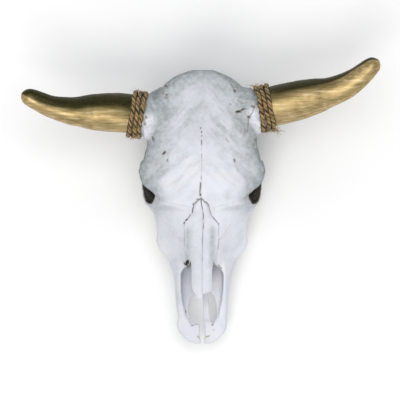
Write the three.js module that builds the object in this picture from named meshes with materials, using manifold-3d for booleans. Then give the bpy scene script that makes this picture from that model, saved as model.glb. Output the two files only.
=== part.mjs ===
// A cow's skull without its lower jaw, with painted horns bound in rope.
//
// Millimetres, +Z up.  The skull lies as it rests on a table: on the last upper
// molars and the tips of the jugular processes, forehead up.  The nose points
// along -Y and the poll along +Y.  The origin is on the table, under the root of
// the nose, which is also the middle of the skull's box.
//
// The bone is one lofted body, joined from named forms, which is then parted
// along its sutures into the bones that a person would name.

import * as THREE from 'three';
import { LoftGeometry } from 'three/addons/geometries/LoftGeometry.js';
import { mergeVertices } from 'three/addons/utils/BufferGeometryUtils.js';
import Module from 'manifold-3d';

const wasm = await Module();
wasm.setup();

// ---------------------------------------------------------------- dimensions

const SUTURE_GAP = 0.35; // clear space between neighbouring bones
const SIDES = [['left', 1], ['right', -1]]; // the animal's own left is +X

// Frontal bones and poll, as stations from the poll to the root of the nose.
// Columns: y, half width, top, height of the side edge, underside.
const FOREHEAD = [
  [226.5, 20, 168, 153, 138],
  [219, 41, 174, 151, 126],
  [204, 63.5, 179, 149, 114],
  [180, 82, 181, 148, 110],
  [150, 90, 180, 148, 112],
  [118, 96, 176, 148, 118],
  [92, 96, 172, 148, 122],
  [74, 100, 169, 146, 122],
  [54, 109.5, 165, 141, 122],
  [40, 108, 162, 140, 122],
  [27, 101, 160, 140, 121],
  [16, 88, 158, 139, 119],
  [6, 77, 154, 137, 115],
  [-8, 62, 147, 130, 108],
];

// Brain case and the wall between the orbits.
// Columns: y, half width, top, underside.
const BRAINCASE = [
  [14, 43, 148, 70],
  [48, 47, 150, 62],
  [88, 57, 154, 56],
  [128, 66, 158, 52],
  [168, 74, 160, 50],
  [190, 68, 150, 56],
  [203, 44, 128, 72],
];

// The wide back of the skull, beside the condyles.
// Columns: y, half width, top, underside.
const NUCHAL = [
  [140, 66, 128, 62],
  [162, 90, 132, 58],
  [184, 95, 130, 62],
  [198, 74, 122, 72],
];

// The bar of the skull's base, from the condyles to the vomer.
// Columns: y, half width, top, underside.
const BASE_BAR = [
  [186, 36, 78, 42],
  [162, 29, 78, 30],
  [150, 31, 78, 26],
  [122, 23, 76, 36],
  [88, 17, 74, 42],
  [44, 13, 76, 46],
  [10, 10, 80, 50],
];

// The face as half sections, from the orbits to the end of the cheek.
// Columns: y, top, then x and z of the roof's corner, the upper cheek, the
// cheek, the lower cheek and the tooth edge, and last the height of the palate.
const FACE = [
  [40, 148, 36, 144, 44, 122, 46, 100, 46, 76, 44, 48, 48],
  [24, 152, 42, 147, 56, 126, 60, 100, 64, 70, 62, 36, 44],
  [10, 152, 58, 147, 74, 133, 79, 103, 77, 70, 67, 31, 42],
  [-5, 149, 60, 144, 77, 130.5, 86.5, 103.5, 85, 72, 69, 30, 40],
  [-20, 143, 34, 139, 64, 121, 80, 93, 79.5, 66, 70, 30, 39],
  [-40, 138, 33, 134, 58, 112, 77, 84, 78, 64, 70, 30, 38],
  [-60, 133, 31.5, 129, 52, 105, 72, 80, 78.5, 63, 68, 31, 38],
  [-71, 130, 30, 126, 48, 102, 69, 79, 80, 62, 66, 32, 37],
  [-85, 126, 28.5, 122, 43, 100, 59, 79, 75.5, 61, 63, 34, 37],
  [-97, 123, 27, 118, 40, 98, 54, 77, 65.5, 60, 56, 36, 38],
  [-108, 118, 26, 113.5, 38.5, 97, 49.5, 76, 57, 58, 51.5, 38, 39],
  [-122, 108, 23, 103, 36.5, 94, 47.5, 74, 51.5, 57, 46.5, 40, 41],
];

// The tooth-bearing edge inside the teeth: width and rise of its ledge, and the
// distance from the teeth to where the palate is flat.
const GUM_LEDGE = { width: 20, rise: 3, vault: 26 };

// The open muzzle as half sections, from the cheek to the tip of the nose.
// Columns: y, then x and z of the wall's crest, the outer face and the lower
// edge, and last the height of the palate.
const MUZZLE = [
  [-96, 37, 97, 62, 59, 55, 36, 38],
  [-111, 39.5, 100, 57.5, 59, 52, 38, 39],
  [-130, 40.5, 93, 50.5, 58, 46, 40, 41],
  [-150, 40.5, 85, 47.6, 58, 44, 42, 43],
  [-172, 40, 75, 46, 56, 43, 43, 45],
  [-190, 38.5, 66, 44.2, 54, 42, 43, 46],
  [-206, 36.5, 58, 41.8, 51, 39.5, 43, 46],
  [-218, 36, 54, 44, 49, 41, 42, 45],
  [-229, 34, 51, 41.5, 47, 39, 40, 43],
  [-237, 28, 49, 35, 45, 33, 39, 42],
  [-246, 18, 47, 26, 43, 24, 38, 41],
  [-252.5, 7, 45, 12, 42, 11, 39, 40],
];

// The nasal cavity, closed above by the nasal bones and open in front.
// Columns: y, half width and height of the floor, half width and height of the
// top.
const NASAL_CAVITY = [
  [-34, 12, 62, 12, 104],
  [-60, 23, 50, 19, 120],
  [-90, 29, 47, 21, 119],
  [-104, 32, 47, 17, 115], [-108, 33, 47, 17, 125],
  [-114, 33, 47, 19, 125], [-118, 33, 47, 26, 125], [-122, 33.5, 47.5, 30.5, 125],
  [-130, 34, 48, 36, 130],
  [-150, 35, 49, 37, 150],
  [-172, 34, 50, 36, 140],
  [-190, 31, 51, 34, 130],
  [-206, 28, 51, 31, 120],
  [-217, 20, 51, 25, 110],
];

const MUZZLE_LEDGE = 9; // width of the muzzle's lower edge
const CAVITY_CORNER = { out: 1, up: 12, in: 5 }; // soft corner of the cavity's floor

// The nasal bones, which lie on the roof of the nose.
// Columns: y, half width on the left, half width on the right, height.
const NASALS = [
  [3, 2, 5, 152],
  [-4, 8.5, 12.5, 151],
  [-9, 12, 15.5, 149.8],
  [-20, 14.5, 17, 146.5],
  [-30, 20, 23.5, 143.6],
  [-38, 26.5, 30, 141.3],
  [-45, 29.8, 31.3, 139.3],
  [-69, 29.5, 31, 133],
  [-90, 27, 28.5, 127.5],
  [-101, 24.5, 25.5, 124.5],
  [-109, 20.5, 19.5, 122],
  [-125, 17.5, 18.5, 118],
  [-146, 17.5, 18, 112.5],
  [-157, 16.5, 16.5, 109.5],
  [-164, 10.5, 12, 107.5],
];
const NASAL_THICKNESS = 5;
const NASAL_CROWN = 3; // rise of each bone between its two edges
const NASAL_DROP = 5; // fall from the middle to the outer edge
const NASAL_FULL = 18; // half width from which the crown is full
const NASAL_BED = { up: 30, down: 3 }; // how far the bed is cut, in clearances
const NASAL_TIP = [-175, 7, 104.5]; // the longer right bone: y, half width, height

// Openings of the hard palate, in plan, and the gap between the front bones.
const FISSURE_LEFT = [
  [10, -158], [14, -160], [22.6, -170], [25.5, -180], [26, -196],
  [24.5, -209], [20.7, -217], [18.2, -218], [14.5, -208], [12, -190],
];
const FISSURE_RIGHT = [
  [2.2, -158], [-11.5, -163], [-21.5, -171], [-23.5, -182], [-24.5, -196],
  [-20, -204], [-24.5, -211], [-19, -220], [-16, -221], [-11, -218.5],
  [-4.6, -219], [-4.6, -242], [-2, -248], [-5, -256], [5, -256],
  [3.6, -248], [5.5, -240], [5.5, -220], [2.2, -213],
];

const FISSURE_REACH = [10, 90]; // heights between which they are cut

// The table that the skull lies on, in plan, and how deep nothing is kept below it.
const TABLE = [[-200, -300], [200, -300], [200, 300], [-200, 300]];
const TABLE_DEPTH = 50;

// The rim of the orbit, a closed loop of the left side: x, y, z, radius.  It is
// thick above, where the forehead ends, and thin below.
const ORBIT_RIM = [
  [106, 52, 138, 4.6], [101.5, 38, 141, 4.6], [93, 28, 142, 4.6], [84.5, 19.5, 139, 4.6],
  [77, 10.5, 132, 4.6], [80, 0, 119, 4.4], [86, -8, 104, 3.8], [94, -6, 92, 3.2],
  [100.5, 9, 85, 3], [102.5, 32, 84, 3], [102, 54, 91, 3.4], [101, 66, 108, 4.2],
  [102.5, 65, 126, 4.6],
];

// Arch and bars round the orbit, left side: x, y, z, half height, half width.
const CHEEK_ARCH = [
  [72, -40, 74, 8, 7],
  [77, -20, 76, 12, 8],
  [88, 0, 78, 11, 9.5],
  [98, 22, 77, 8.5, 5.5],
  [100.5, 48, 80, 8.5, 5],
  [98, 72, 88, 8.5, 4.5],
  [90, 100, 97, 8, 4.5],
  [82, 128, 98, 8, 6],
  [62, 148, 92, 10, 10],
];
const POSTORBITAL_BAR = [
  [102.5, 62, 140, 8, 5],
  [102, 64, 120, 6.5, 4.5],
  [100.5, 64, 104, 7, 4.5],
  [99.5, 60, 88, 9, 4.5],
];

// Processes under the back of the skull, left side: x, y, z, radii.
const JUGULAR_PROCESS = [
  [64, 176, 96, 17, 12],
  [61, 177, 60, 13, 9],
  [57, 176, 26, 9, 6.5],
  [55, 175, -6, 7, 5],
];
const EAR_TUBE = [
  [44, 144, 72, 11, 9],
  [70, 149, 80, 9, 9],
  [88, 152, 86, 9, 9],
];
const CONDYLE = { at: [27, 190, 48], radii: [20, 20, 25] };
const BULLA = { at: [42, 136, 50], radii: [13, 20, 21] };
const LACRIMAL_BULLA = { at: [60, 22, 64], radii: [17, 26, 20] };

// The great hole in the back of the skull, from outside in: x, y, z, radius.
const MAGNUM = [[0, 230, 56, 21], [0, 200, 60, 18], [0, 130, 82, 12]];

// The thin upright plate behind the palate, which ends in a hook, and the way
// out of the nose between the two plates: outlines in y and z, and x.
const PTERYGOID = {
  outline: [
    [10, 80], [10, 34], [32, 30], [60, 22], [74, 16], [80, 20], [74, 32], [96, 60], [96, 80],
  ],
  from: 17.4,
  to: 22.6,
};
const CHOANA = { outline: [[16, 0], [30, 54], [74, 62], [104, 40], [124, 0]], half: 17 };

// Cheek teeth of one side, from the last molar to the first premolar: name,
// middle (x, y), length along the row, width.
const TEETH = [
  ['M3', 57, 21, 26.4, 21],
  ['M2', 60, -4.5, 23.4, 23],
  ['M1', 61, -27.5, 21.4, 22],
  ['P4', 59, -47, 16.4, 19],
  ['P3', 56, -64.5, 17.4, 16],
  ['P2', 51, -81.5, 15.4, 13],
];
const BITE_SLOPE = 0.118; // the bite rises this much per millimetre forward
const BITE_START = 8; // in front of this y the teeth clear the table
const BITE_BEVEL = { height: 5, grow: 0.9 }; // the worn edge of each tooth
const GUM_HEIGHT = 40;

// Horns: x, y, z, radius along the middle of each horn.
const HORN_LEFT = [
  [109.7, 161, 148, 34.6], [140, 168, 147, 35.4], [172, 175.6, 146, 34.4],
  [203, 183.5, 147, 30.4], [224, 189.5, 149, 26], [245, 197.5, 153, 23.8],
  [266, 209.5, 159, 21.2], [284, 223.5, 166, 18.6], [299, 236.5, 173, 14.8],
  [308.5, 244, 177, 7.5],
];
const HORN_RIGHT = [
  [-113, 150, 148, 34.4], [-135, 152.5, 147.5, 34.8], [-158, 153.8, 147, 34.3],
  [-189, 154.6, 147, 31.8], [-221, 155.6, 149, 26], [-242, 158.8, 152, 22.8],
  [-263, 163.8, 157, 19.6], [-284, 172.4, 164, 17.6], [-303, 181, 171, 15],
  [-314.5, 186, 176, 8],
];
// Necks of bone that carry the horns.  Columns: distance from the end of the
// neck, half width across the forehead, half height.
const NECK_LEFT = [[-62, 45, 24], [-45, 44.5, 31], [-28, 43.5, 36], [-12, 42, 38.5], [8, 42, 38.5]];
const NECK_RIGHT = [[-62, 41, 24], [-45, 39, 31], [-28, 38, 35], [-12, 37, 36.5], [8, 37, 36.5]];
const NECK_OVERRUN = 8; // how far a horn runs back before it is cut

// Rope: three turns round the joint of neck and horn.
const ROPE_TURNS = 3;
const ROPE_PITCH = 8.6;
const ROPE_INNER = 36.2;
const ROPE_BED = 34.3; // radius of the bone under the rope
const ROPE_WIDTH = ROPE_TURNS * ROPE_PITCH;
const ROPE_CORE = 2.8; // from the inner radius to the valleys between turns
const ROPE_BULGE = 3.4; // rise of each turn over the valleys
const ROPE_SHOULDER = 1.5; // how far the inner edges are drawn in

// Sutures.  Plan outlines are x, y and side outlines y, z, on the left side.
const LACRIMAL_PLAN = [
  [22, -12], [50, -5], [78, 2], [110, 2], [104, -16],
  [80, -31], [63, -40], [51, -48], [45.5, -57], [36.8, -66], [22, -72],
];
const LACRIMAL_HEIGHT = [95, 160];
const MALAR_SIDE = [
  [-47, 62], [-47, 80], [-24, 92], [-10, 96], [30, 96], [50, 105], [74, 106],
  [84, 98], [94, 99], [98, 88], [70, 74], [40, 62], [10, 58], [-20, 56],
];
const MALAR_PLAN = [
  [66, -47], [72, -20], [82, 0], [90, 22], [93, 48], [93, 98],
  [120, 98], [120, -47],
];
const PREMAXILLA_SIDE = [
  [-110, 116], [-110, 101], [-168, 30], [-168, 20], [-270, 20], [-270, 116],
];
const MAXILLA_SIDE = [
  [46, -5], [46, 56], [24, 76], [-8, 88], [-36, 98], [-36, 170], [-170, 170],
  [-170, -5],
];
const MALAR_WIDTH = [60, 125];
const MALAR_HEIGHT = [40, 120];
const PREMAXILLA_WIDTH = 60;
const MAXILLA_WIDTH = 110;

const BONE = { color: 0xdfe1e8, roughness: 0.65, metalness: 0 };
const PAINTED_HORN = { color: 0xab915b, roughness: 0.42, metalness: 0.6 };
const JUTE = { color: 0xad976b, roughness: 0.9, metalness: 0 };

// ------------------------------------------------------------------- helpers

const SIDEWAYS = new THREE.Vector3(1, 0, 0);
const UPWARDS = new THREE.Vector3(0, 0, 1);
const ALONG_Y = new THREE.Vector3(0, 1, 0);

// Signed volume of an indexed triangle mesh.
function signedVolume(position, index) {
  let total = 0;
  const [a, b, c] = [new THREE.Vector3(), new THREE.Vector3(), new THREE.Vector3()];
  for (let i = 0; i < index.length; i += 3) {
    a.fromBufferAttribute(position, index[i]);
    b.fromBufferAttribute(position, index[i + 1]);
    c.fromBufferAttribute(position, index[i + 2]);
    total += a.dot(b.cross(c)) / 6;
  }
  return total;
}

// A closed geometry as a solid, with its faces turned outwards.
function toSolid(geometry) {
  const bare = new THREE.BufferGeometry().copy(geometry);
  bare.deleteAttribute('normal');
  bare.deleteAttribute('uv');
  const merged = mergeVertices(bare, 1e-3);
  const index = [];
  for (let i = 0; i < merged.index.count; i += 3) {
    const [a, b, c] = [0, 1, 2].map((k) => merged.index.getX(i + k));
    if (a !== b && b !== c && c !== a) index.push(a, b, c);
  }
  const position = merged.getAttribute('position');
  if (signedVolume(position, index) < 0) index.reverse();
  return new wasm.Manifold(new wasm.Mesh({
    numProp: 3,
    vertProperties: new Float32Array(position.array),
    triVerts: new Uint32Array(index),
  }));
}

// A solid as a named mesh of its own material.
function toMesh(name, solid, finish) {
  const { vertProperties, triVerts } = solid.getMesh();
  const geometry = new THREE.BufferGeometry();
  geometry.setAttribute('position', new THREE.BufferAttribute(new Float32Array(vertProperties), 3));
  geometry.setIndex(new THREE.BufferAttribute(new Uint32Array(triVerts), 1));
  geometry.computeVertexNormals();
  const mesh = new THREE.Mesh(geometry, new THREE.MeshStandardMaterial(finish));
  mesh.name = name;
  return mesh;
}

const join = (...solids) => solids.reduce((whole, solid) => whole.add(solid));
const cut = (whole, ...solids) => solids.reduce((rest, solid) => rest.subtract(solid), whole);

// Rows of a table, interpolated without overshoot at even steps between the
// first and last row.  Distance along the table is measured in the first
// `measured` columns.
function resample(rows, count, measured = 1) {
  const at = [0];
  for (let i = 1; i < rows.length; i++) {
    const step = Math.hypot(...rows[i].slice(0, measured).map((v, k) => v - rows[i - 1][k]));
    at.push(at[i - 1] + step);
  }
  const columns = rows[0].map((_, k) => rows.map((row) => row[k]));
  return Array.from({ length: count }, (_, n) => {
    const s = (at[at.length - 1] * n) / (count - 1);
    return columns.map((column) => smoothValue(at, column, s));
  });
}

// A smooth curve through points, with the slope at each point the harmonic
// mean of its neighbours' slopes, so that it never overshoots.
function smoothValue(at, value, s) {
  const last = at.length - 1;
  let i = 0;
  while (i < last - 1 && s > at[i + 1]) i++;
  const secant = (k) => (value[k + 1] - value[k]) / (at[k + 1] - at[k]);
  const slope = (k) => {
    if (k === 0) return secant(0);
    if (k === last) return secant(last - 1);
    const [p, q] = [secant(k - 1), secant(k)];
    return p * q <= 0 ? 0 : (2 * p * q) / (p + q);
  };
  const h = at[i + 1] - at[i];
  const t = Math.min(Math.max((s - at[i]) / h, 0), 1);
  const a = value[i] * (1 + 2 * t) * (1 - t) ** 2 + value[i + 1] * t * t * (3 - 2 * t);
  return a + h * (slope(i) * t * (1 - t) ** 2 - slope(i + 1) * t * t * (1 - t));
}

// Unit superellipse: a circle at power 2, nearer a box as the power grows.
function unitRing(count, power) {
  return Array.from({ length: count }, (_, k) => {
    const turn = (2 * Math.PI * k) / count;
    const [c, s] = [Math.cos(turn), Math.sin(turn)];
    const shape = (v) => Math.sign(v) * Math.abs(v) ** (2 / power);
    return [shape(c), shape(s)];
  });
}

// A capped loft.  Its sections have to wind so that their normals point from
// the first section to the last, so they are turned round where they don't.
function loft(sections) {
  const [first, second] = sections;
  const normal = new THREE.Vector3();
  const along = new THREE.Vector3();
  first.forEach((point, i) => {
    const next = first[(i + 1) % first.length];
    normal.add(new THREE.Vector3().crossVectors(point, next));
    along.add(second[i]).sub(point);
  });
  const wound = normal.dot(along) > 0 ? sections : sections.map((ring) => [...ring].reverse());
  return toSolid(new LoftGeometry(wound, { capStart: true, capEnd: true }));
}

// A body along Y whose sections are superellipses.  The rows give y, half
// width, top, height of the widest place and underside.
function yBody(rows, { stations, sides, power }) {
  const ring = unitRing(sides, power);
  return loft(resample(rows, stations).map(([y, half, top, edge, low]) => ring.map(([c, s]) => (
    new THREE.Vector3(half * c, y, edge + s * (s > 0 ? top - edge : edge - low))
  ))));
}

// The same for rows of y, half width, top and underside, widest halfway up.
const yBar = (rows, options) => yBody(
  rows.map(([y, half, top, low]) => [y, half, top, (top + low) / 2, low]), options,
);

// A body along Y from half sections, which are mirrored.  `half` turns a row
// into its points from the top middle to the bottom middle.
function halfBody(rows, half, { stations }) {
  return loft(resample(rows, stations).map((row) => {
    const points = half(row);
    const mirrored = points.slice(1, -1).reverse().map(([x, z]) => [-x, z]);
    return [...points, ...mirrored].map(([x, z]) => new THREE.Vector3(x, row[0], z));
  }));
}

// A body along a path of x, y, z, half height and half width, mirrored to the
// given side.  The half width is measured along `out`, which the path never
// follows.  A closed path has no ends, and its width points away from its middle.
function sweep(rows, { stations, sides, side = 1, power = 2, closed = false, out = SIDEWAYS }) {
  const ring = unitRing(sides, power);
  const table = resample(closed ? [...rows, rows[0]] : rows, stations, 3);
  const centre = table.map(([x, y, z]) => new THREE.Vector3(x, y, z));
  const last = stations - 1;
  const sections = table.map((row, i) => {
    const before = closed ? centre[i === 0 ? last - 1 : i - 1] : centre[Math.max(i - 1, 0)];
    const after = closed ? centre[i === last ? 1 : i + 1] : centre[Math.min(i + 1, last)];
    const along = after.clone().sub(before).normalize();
    const away = closed ? outwardOf(centre, along, centre[i]) : out;
    const rise = new THREE.Vector3().crossVectors(along, away).normalize();
    const wide = new THREE.Vector3().crossVectors(rise, along);
    const [tall, broad] = [row[3], row[4] ?? row[3]];
    return ring.map(([c, s]) => {
      const point = centre[i].clone().addScaledVector(wide, broad * c).addScaledVector(rise, tall * s);
      return new THREE.Vector3(point.x * side, point.y, point.z);
    });
  });
  if (!closed) return loft(sections);
  sections[last] = sections[0].map((point) => point.clone());
  return toSolid(new LoftGeometry(sections, {}));
}

// The direction from the middle of a loop to one of its points, square to the
// loop there.
function outwardOf(loop, along, point) {
  const middle = new THREE.Vector3();
  loop.forEach((p) => middle.addScaledVector(p, 1 / loop.length));
  const out = point.clone().sub(middle);
  return out.addScaledVector(along, -out.dot(along)).normalize();
}

// An ellipsoid on the given side.
function ellipsoid({ at: [x, y, z], radii }, side) {
  const ball = new THREE.SphereGeometry(1, 8, 6);
  ball.scale(...radii);
  ball.translate(x * side, y, z);
  return toSolid(ball);
}

// An outline moved inwards by a distance, corner by corner.
function inset(outline, distance) {
  const turning = THREE.ShapeUtils.area(outline.map(([x, y]) => new THREE.Vector2(x, y)));
  const sign = Math.sign(turning);
  return outline.map((point, i) => {
    const before = outline[(i + outline.length - 1) % outline.length];
    const after = outline[(i + 1) % outline.length];
    const normals = [[before, point], [point, after]].map(([p, q]) => {
      const length = Math.hypot(q[0] - p[0], q[1] - p[1]);
      return [(-sign * (q[1] - p[1])) / length, (sign * (q[0] - p[0])) / length];
    });
    const [m, n] = normals;
    const scale = distance / (1 + m[0] * n[0] + m[1] * n[1]);
    return [point[0] + (m[0] + n[0]) * scale, point[1] + (m[1] + n[1]) * scale];
  });
}

// A straight block of an outline.  A plan outline runs up Z and a side outline
// runs along X, from low to high, on the given side.
function block(outline, low, high, { along = 'z', side = 1 } = {}) {
  const shape = new THREE.Shape(outline.map(([a, b]) => new THREE.Vector2(a, b)));
  const body = new THREE.ExtrudeGeometry(shape, { depth: high - low, bevelEnabled: false });
  body.translate(0, 0, low);
  if (along === 'x') {
    body.applyMatrix4(new THREE.Matrix4().makeBasis(
      new THREE.Vector3(0, 1, 0), new THREE.Vector3(0, 0, 1), new THREE.Vector3(1, 0, 0),
    ));
  }
  body.scale(side, 1, 1);
  return toSolid(body);
}

// ------------------------------------------------------------ the whole bone

const faceHalf = ([, top, rx, rz, ux, uz, cx, cz, lx, lz, bx, bz, palate]) => [
  [0, top], [rx, rz], [ux, uz], [cx, cz], [lx, lz], [bx, bz],
  [bx - GUM_LEDGE.width, bz + GUM_LEDGE.rise], [bx - GUM_LEDGE.vault, palate], [0, palate],
];

const muzzleHalf = ([, tx, tz, ox, oz, lx, lz, palate]) => [
  [0, tz], [tx, tz], [ox, oz], [lx, lz], [lx - MUZZLE_LEDGE, lz], [0, palate],
];

const cavityHalf = ([, floorHalf, floor, topHalf, top]) => [
  [0, top], [topHalf, top], [floorHalf + CAVITY_CORNER.out, floor + CAVITY_CORNER.up],
  [floorHalf - CAVITY_CORNER.in, floor], [0, floor],
];

// Height of the bite at a place along the tooth row.
const biteAt = (y) => Math.max(0, (BITE_START - y) * BITE_SLOPE);

// One cheek tooth: a square column with soft corners, worn to the bite.  A
// section without a height follows the bite.
function tooth([, x, y, length, width], side) {
  const corners = unitRing(8, 4);
  const at = (z, grow) => corners.map(([c, s]) => {
    const py = y + (s * length * grow) / 2;
    return new THREE.Vector3(side * (x + (c * width * grow) / 2), py, z ?? biteAt(py));
  });
  return loft([at(null, BITE_BEVEL.grow), at(biteAt(y) + BITE_BEVEL.height, 1), at(GUM_HEIGHT, 1)]);
}

// The root of a horn and the direction in which it leaves the skull.
function hornRoot(horn) {
  const [root, next] = [horn[0], horn[1]].map(([x, y, z]) => new THREE.Vector3(x, y, z));
  return { root, axis: next.sub(root).normalize() };
}

// All that lies beyond a plane square to a direction, near the given point.
function beyond(point, direction) {
  const reach = 120;
  const body = new THREE.BoxGeometry(reach, reach, reach);
  body.translate(0, reach / 2, 0);
  return toSolid(turned(body, direction, point));
}

// A geometry made round the Y axis, turned to a direction and moved to a point.
function turned(geometry, direction, point) {
  geometry.applyQuaternion(new THREE.Quaternion().setFromUnitVectors(ALONG_Y, direction));
  return geometry.translate(...point.toArray());
}

// A body of revolution round the root of a horn, from a closed profile of
// radius and distance along the horn.
function roundHorn(profile, sides, horn) {
  const { root, axis } = hornRoot(horn);
  const points = [...profile, profile[0]].map(([r, h]) => new THREE.Vector2(r, h));
  return toSolid(turned(new THREE.LatheGeometry(points, sides), axis, root));
}

// The neck of bone that carries one horn, drawn in under the rope and cut
// square just short of the horn.
function hornNeck(horn, neck) {
  const { root, axis } = hornRoot(horn);
  const rows = neck.map(([distance, across, tall]) => (
    [...root.clone().addScaledVector(axis, distance), across, tall]
  ));
  const edge = ROPE_WIDTH / 2 + SUTURE_GAP;
  const bed = roundHorn(
    [[ROPE_BED, -edge], [ROPE_BED * 2, -edge], [ROPE_BED * 2, edge], [ROPE_BED, edge]], 16, horn,
  );
  const end = beyond(root.clone().addScaledVector(axis, -SUTURE_GAP), axis);
  return cut(sweep(rows, { stations: 5, sides: 14, out: UPWARDS }), bed, end);
}

// Everything of one side that stands on the lofted middle.
function sideForms(side) {
  return join(
    sweep(ORBIT_RIM, { stations: 15, sides: 6, side, closed: true }),
    sweep(CHEEK_ARCH, { stations: 9, sides: 8, side, power: 2.6 }),
    sweep(POSTORBITAL_BAR, { stations: 4, sides: 8, side }),
    sweep(JUGULAR_PROCESS, { stations: 4, sides: 8, side }),
    sweep(EAR_TUBE, { stations: 3, sides: 6, side, out: UPWARDS }),
    ...[CONDYLE, BULLA, LACRIMAL_BULLA].map((form) => ellipsoid(form, side)),
    block(PTERYGOID.outline, PTERYGOID.from, PTERYGOID.to, { along: 'x', side }),
    ...TEETH.map((row) => tooth(row, side)),
  );
}

function wholeSkull() {
  const solid = join(
    yBody(FOREHEAD, { stations: 14, sides: 14, power: 2.4 }),
    yBar(BRAINCASE, { stations: 6, sides: 10, power: 2.5 }),
    yBar(NUCHAL, { stations: 5, sides: 10, power: 2.4 }),
    yBar(BASE_BAR, { stations: 6, sides: 8, power: 2.6 }),
    halfBody(FACE, faceHalf, { stations: 12 }),
    halfBody(MUZZLE, muzzleHalf, { stations: 12 }),
    hornNeck(HORN_LEFT, NECK_LEFT),
    hornNeck(HORN_RIGHT, NECK_RIGHT),
    ...SIDES.flatMap(([, side]) => sideForms(side)),
  );
  return cut(
    solid,
    halfBody(NASAL_CAVITY, cavityHalf, { stations: 10 }),
    block(FISSURE_LEFT, ...FISSURE_REACH),
    block(FISSURE_RIGHT, ...FISSURE_REACH),
    block(CHOANA.outline, -CHOANA.half, CHOANA.half, { along: 'x' }),
    sweep(MAGNUM, { stations: 3, sides: 8 }),
    block(TABLE, -TABLE_DEPTH, 0),
  );
}

// ------------------------------------------------------------------ the bones

// One nasal bone: an arched plate along the roof of the nose.  Clearance grows
// it all round, to cut its bed.
function nasal(side, clearance = 0) {
  const column = side > 0 ? 1 : 2;
  const rows = NASALS.map((row) => [row[0], row[column], row[3]]);
  if (side < 0) rows.push(NASAL_TIP);
  const stations = resample(rows, 10);
  const [y0, half0, top0] = stations[0];
  if (clearance > 0) stations.unshift([y0 + clearance, half0, top0]);
  const inner = clearance > 0 ? -1 : SUTURE_GAP / 2;
  const sections = stations.map(([y, half, top]) => {
    const outer = half + clearance;
    const crown = Math.min(1, half / NASAL_FULL);
    const rise = (part) => NASAL_CROWN * crown * Math.sin(Math.PI * part) - NASAL_DROP * part ** 2;
    const upper = [0, 0.25, 0.5, 0.75, 1].map((part) => (
      [inner + (outer - inner) * part, top + rise(part) + clearance * NASAL_BED.up]
    ));
    const lower = [1, 0.5, 0].map((part) => (
      [inner + (outer - inner) * part, top + rise(part) - NASAL_THICKNESS - clearance * NASAL_BED.down]
    ));
    return [...upper, ...lower].map(([x, z]) => new THREE.Vector3(side * x, y, z));
  });
  return loft(sections);
}

// A horn, from the middle of its rope to a blunt tip.
function horn(rows) {
  const { root, axis } = hornRoot(rows);
  const inside = root.clone().addScaledVector(axis, -NECK_OVERRUN);
  const body = sweep([[...inside, rows[0][3]], ...rows], { stations: 11, sides: 10, out: UPWARDS });
  return body.subtract(beyond(root, axis.clone().negate()));
}

// Rope turns as one ring with a ridge for each turn, square to the horn.
function ropeRing(hornRows) {
  const valley = ROPE_INNER + ROPE_CORE;
  const edge = ROPE_WIDTH / 2;
  const profile = [[ROPE_INNER, -edge + ROPE_SHOULDER], [valley, -edge]];
  for (let turn = 0; turn < ROPE_TURNS; turn++) {
    const start = -edge + turn * ROPE_PITCH;
    profile.push([valley + ROPE_BULGE, start + ROPE_PITCH / 2], [valley, start + ROPE_PITCH]);
  }
  profile.push([ROPE_INNER, edge - ROPE_SHOULDER]);
  return roundHorn(profile, 14, hornRows);
}

// Take one bone out of the rest: the part of `rest` inside a region, where the
// region for the bone is smaller by the suture gap.
function takeBone(rest, region) {
  return [rest.intersect(region(SUTURE_GAP)), rest.subtract(region(0))];
}

const drawnIn = ([low, high], gap) => [low + gap, high - gap];

// The suture regions of one side, each drawn in by a gap.
const regions = {
  lacrimal: (side) => (gap) => block(inset(LACRIMAL_PLAN, gap), ...drawnIn(LACRIMAL_HEIGHT, gap), { side }),
  cheekbone: (side) => (gap) => block(inset(MALAR_SIDE, gap), ...MALAR_WIDTH, { along: 'x', side })
    .intersect(block(inset(MALAR_PLAN, gap), ...MALAR_HEIGHT, { side })),
  premaxilla: (side) => (gap) => block(
    inset(PREMAXILLA_SIDE, gap), gap / 2, PREMAXILLA_WIDTH, { along: 'x', side },
  ),
  maxilla: (side) => (gap) => block(
    inset(MAXILLA_SIDE, gap), gap / 2, MAXILLA_WIDTH, { along: 'x', side },
  ),
};

const skull = new THREE.Group();

let rest = cut(wholeSkull(), nasal(1, SUTURE_GAP), nasal(-1, SUTURE_GAP));
for (const [word, side] of SIDES) {
  skull.add(toMesh(`nasal_${word}`, nasal(side), BONE));
  for (const [bone, region] of Object.entries(regions)) {
    const [piece, remainder] = takeBone(rest, region(side));
    rest = remainder;
    skull.add(toMesh(`${bone}_${word}`, piece, BONE));
  }
}
skull.add(toMesh('cranium', rest, BONE));

for (const [word, rows] of [['left', HORN_LEFT], ['right', HORN_RIGHT]]) {
  skull.add(toMesh(`horn_${word}`, horn(rows), PAINTED_HORN));
  skull.add(toMesh(`rope_${word}`, ropeRing(rows), JUTE));
}

export default skull;
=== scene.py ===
# %% [markdown]
# # A bleached cow skull with gilded horns
#
# This lesson dresses a cow's skull for a museum-style picture.  The bone is dry
# and sun-bleached, the horns are painted gold, and three turns of jute rope
# hide the joint of horn and bone.  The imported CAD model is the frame: it says
# where every bone lies, and each piece below stands for one of its nodes.
#
# Everything is measured in millimetres and put into the meshes in metres.  +Z
# is up, the nose points along -Y, and the animal's own left side is +X.

# %% The frame
import math

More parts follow.
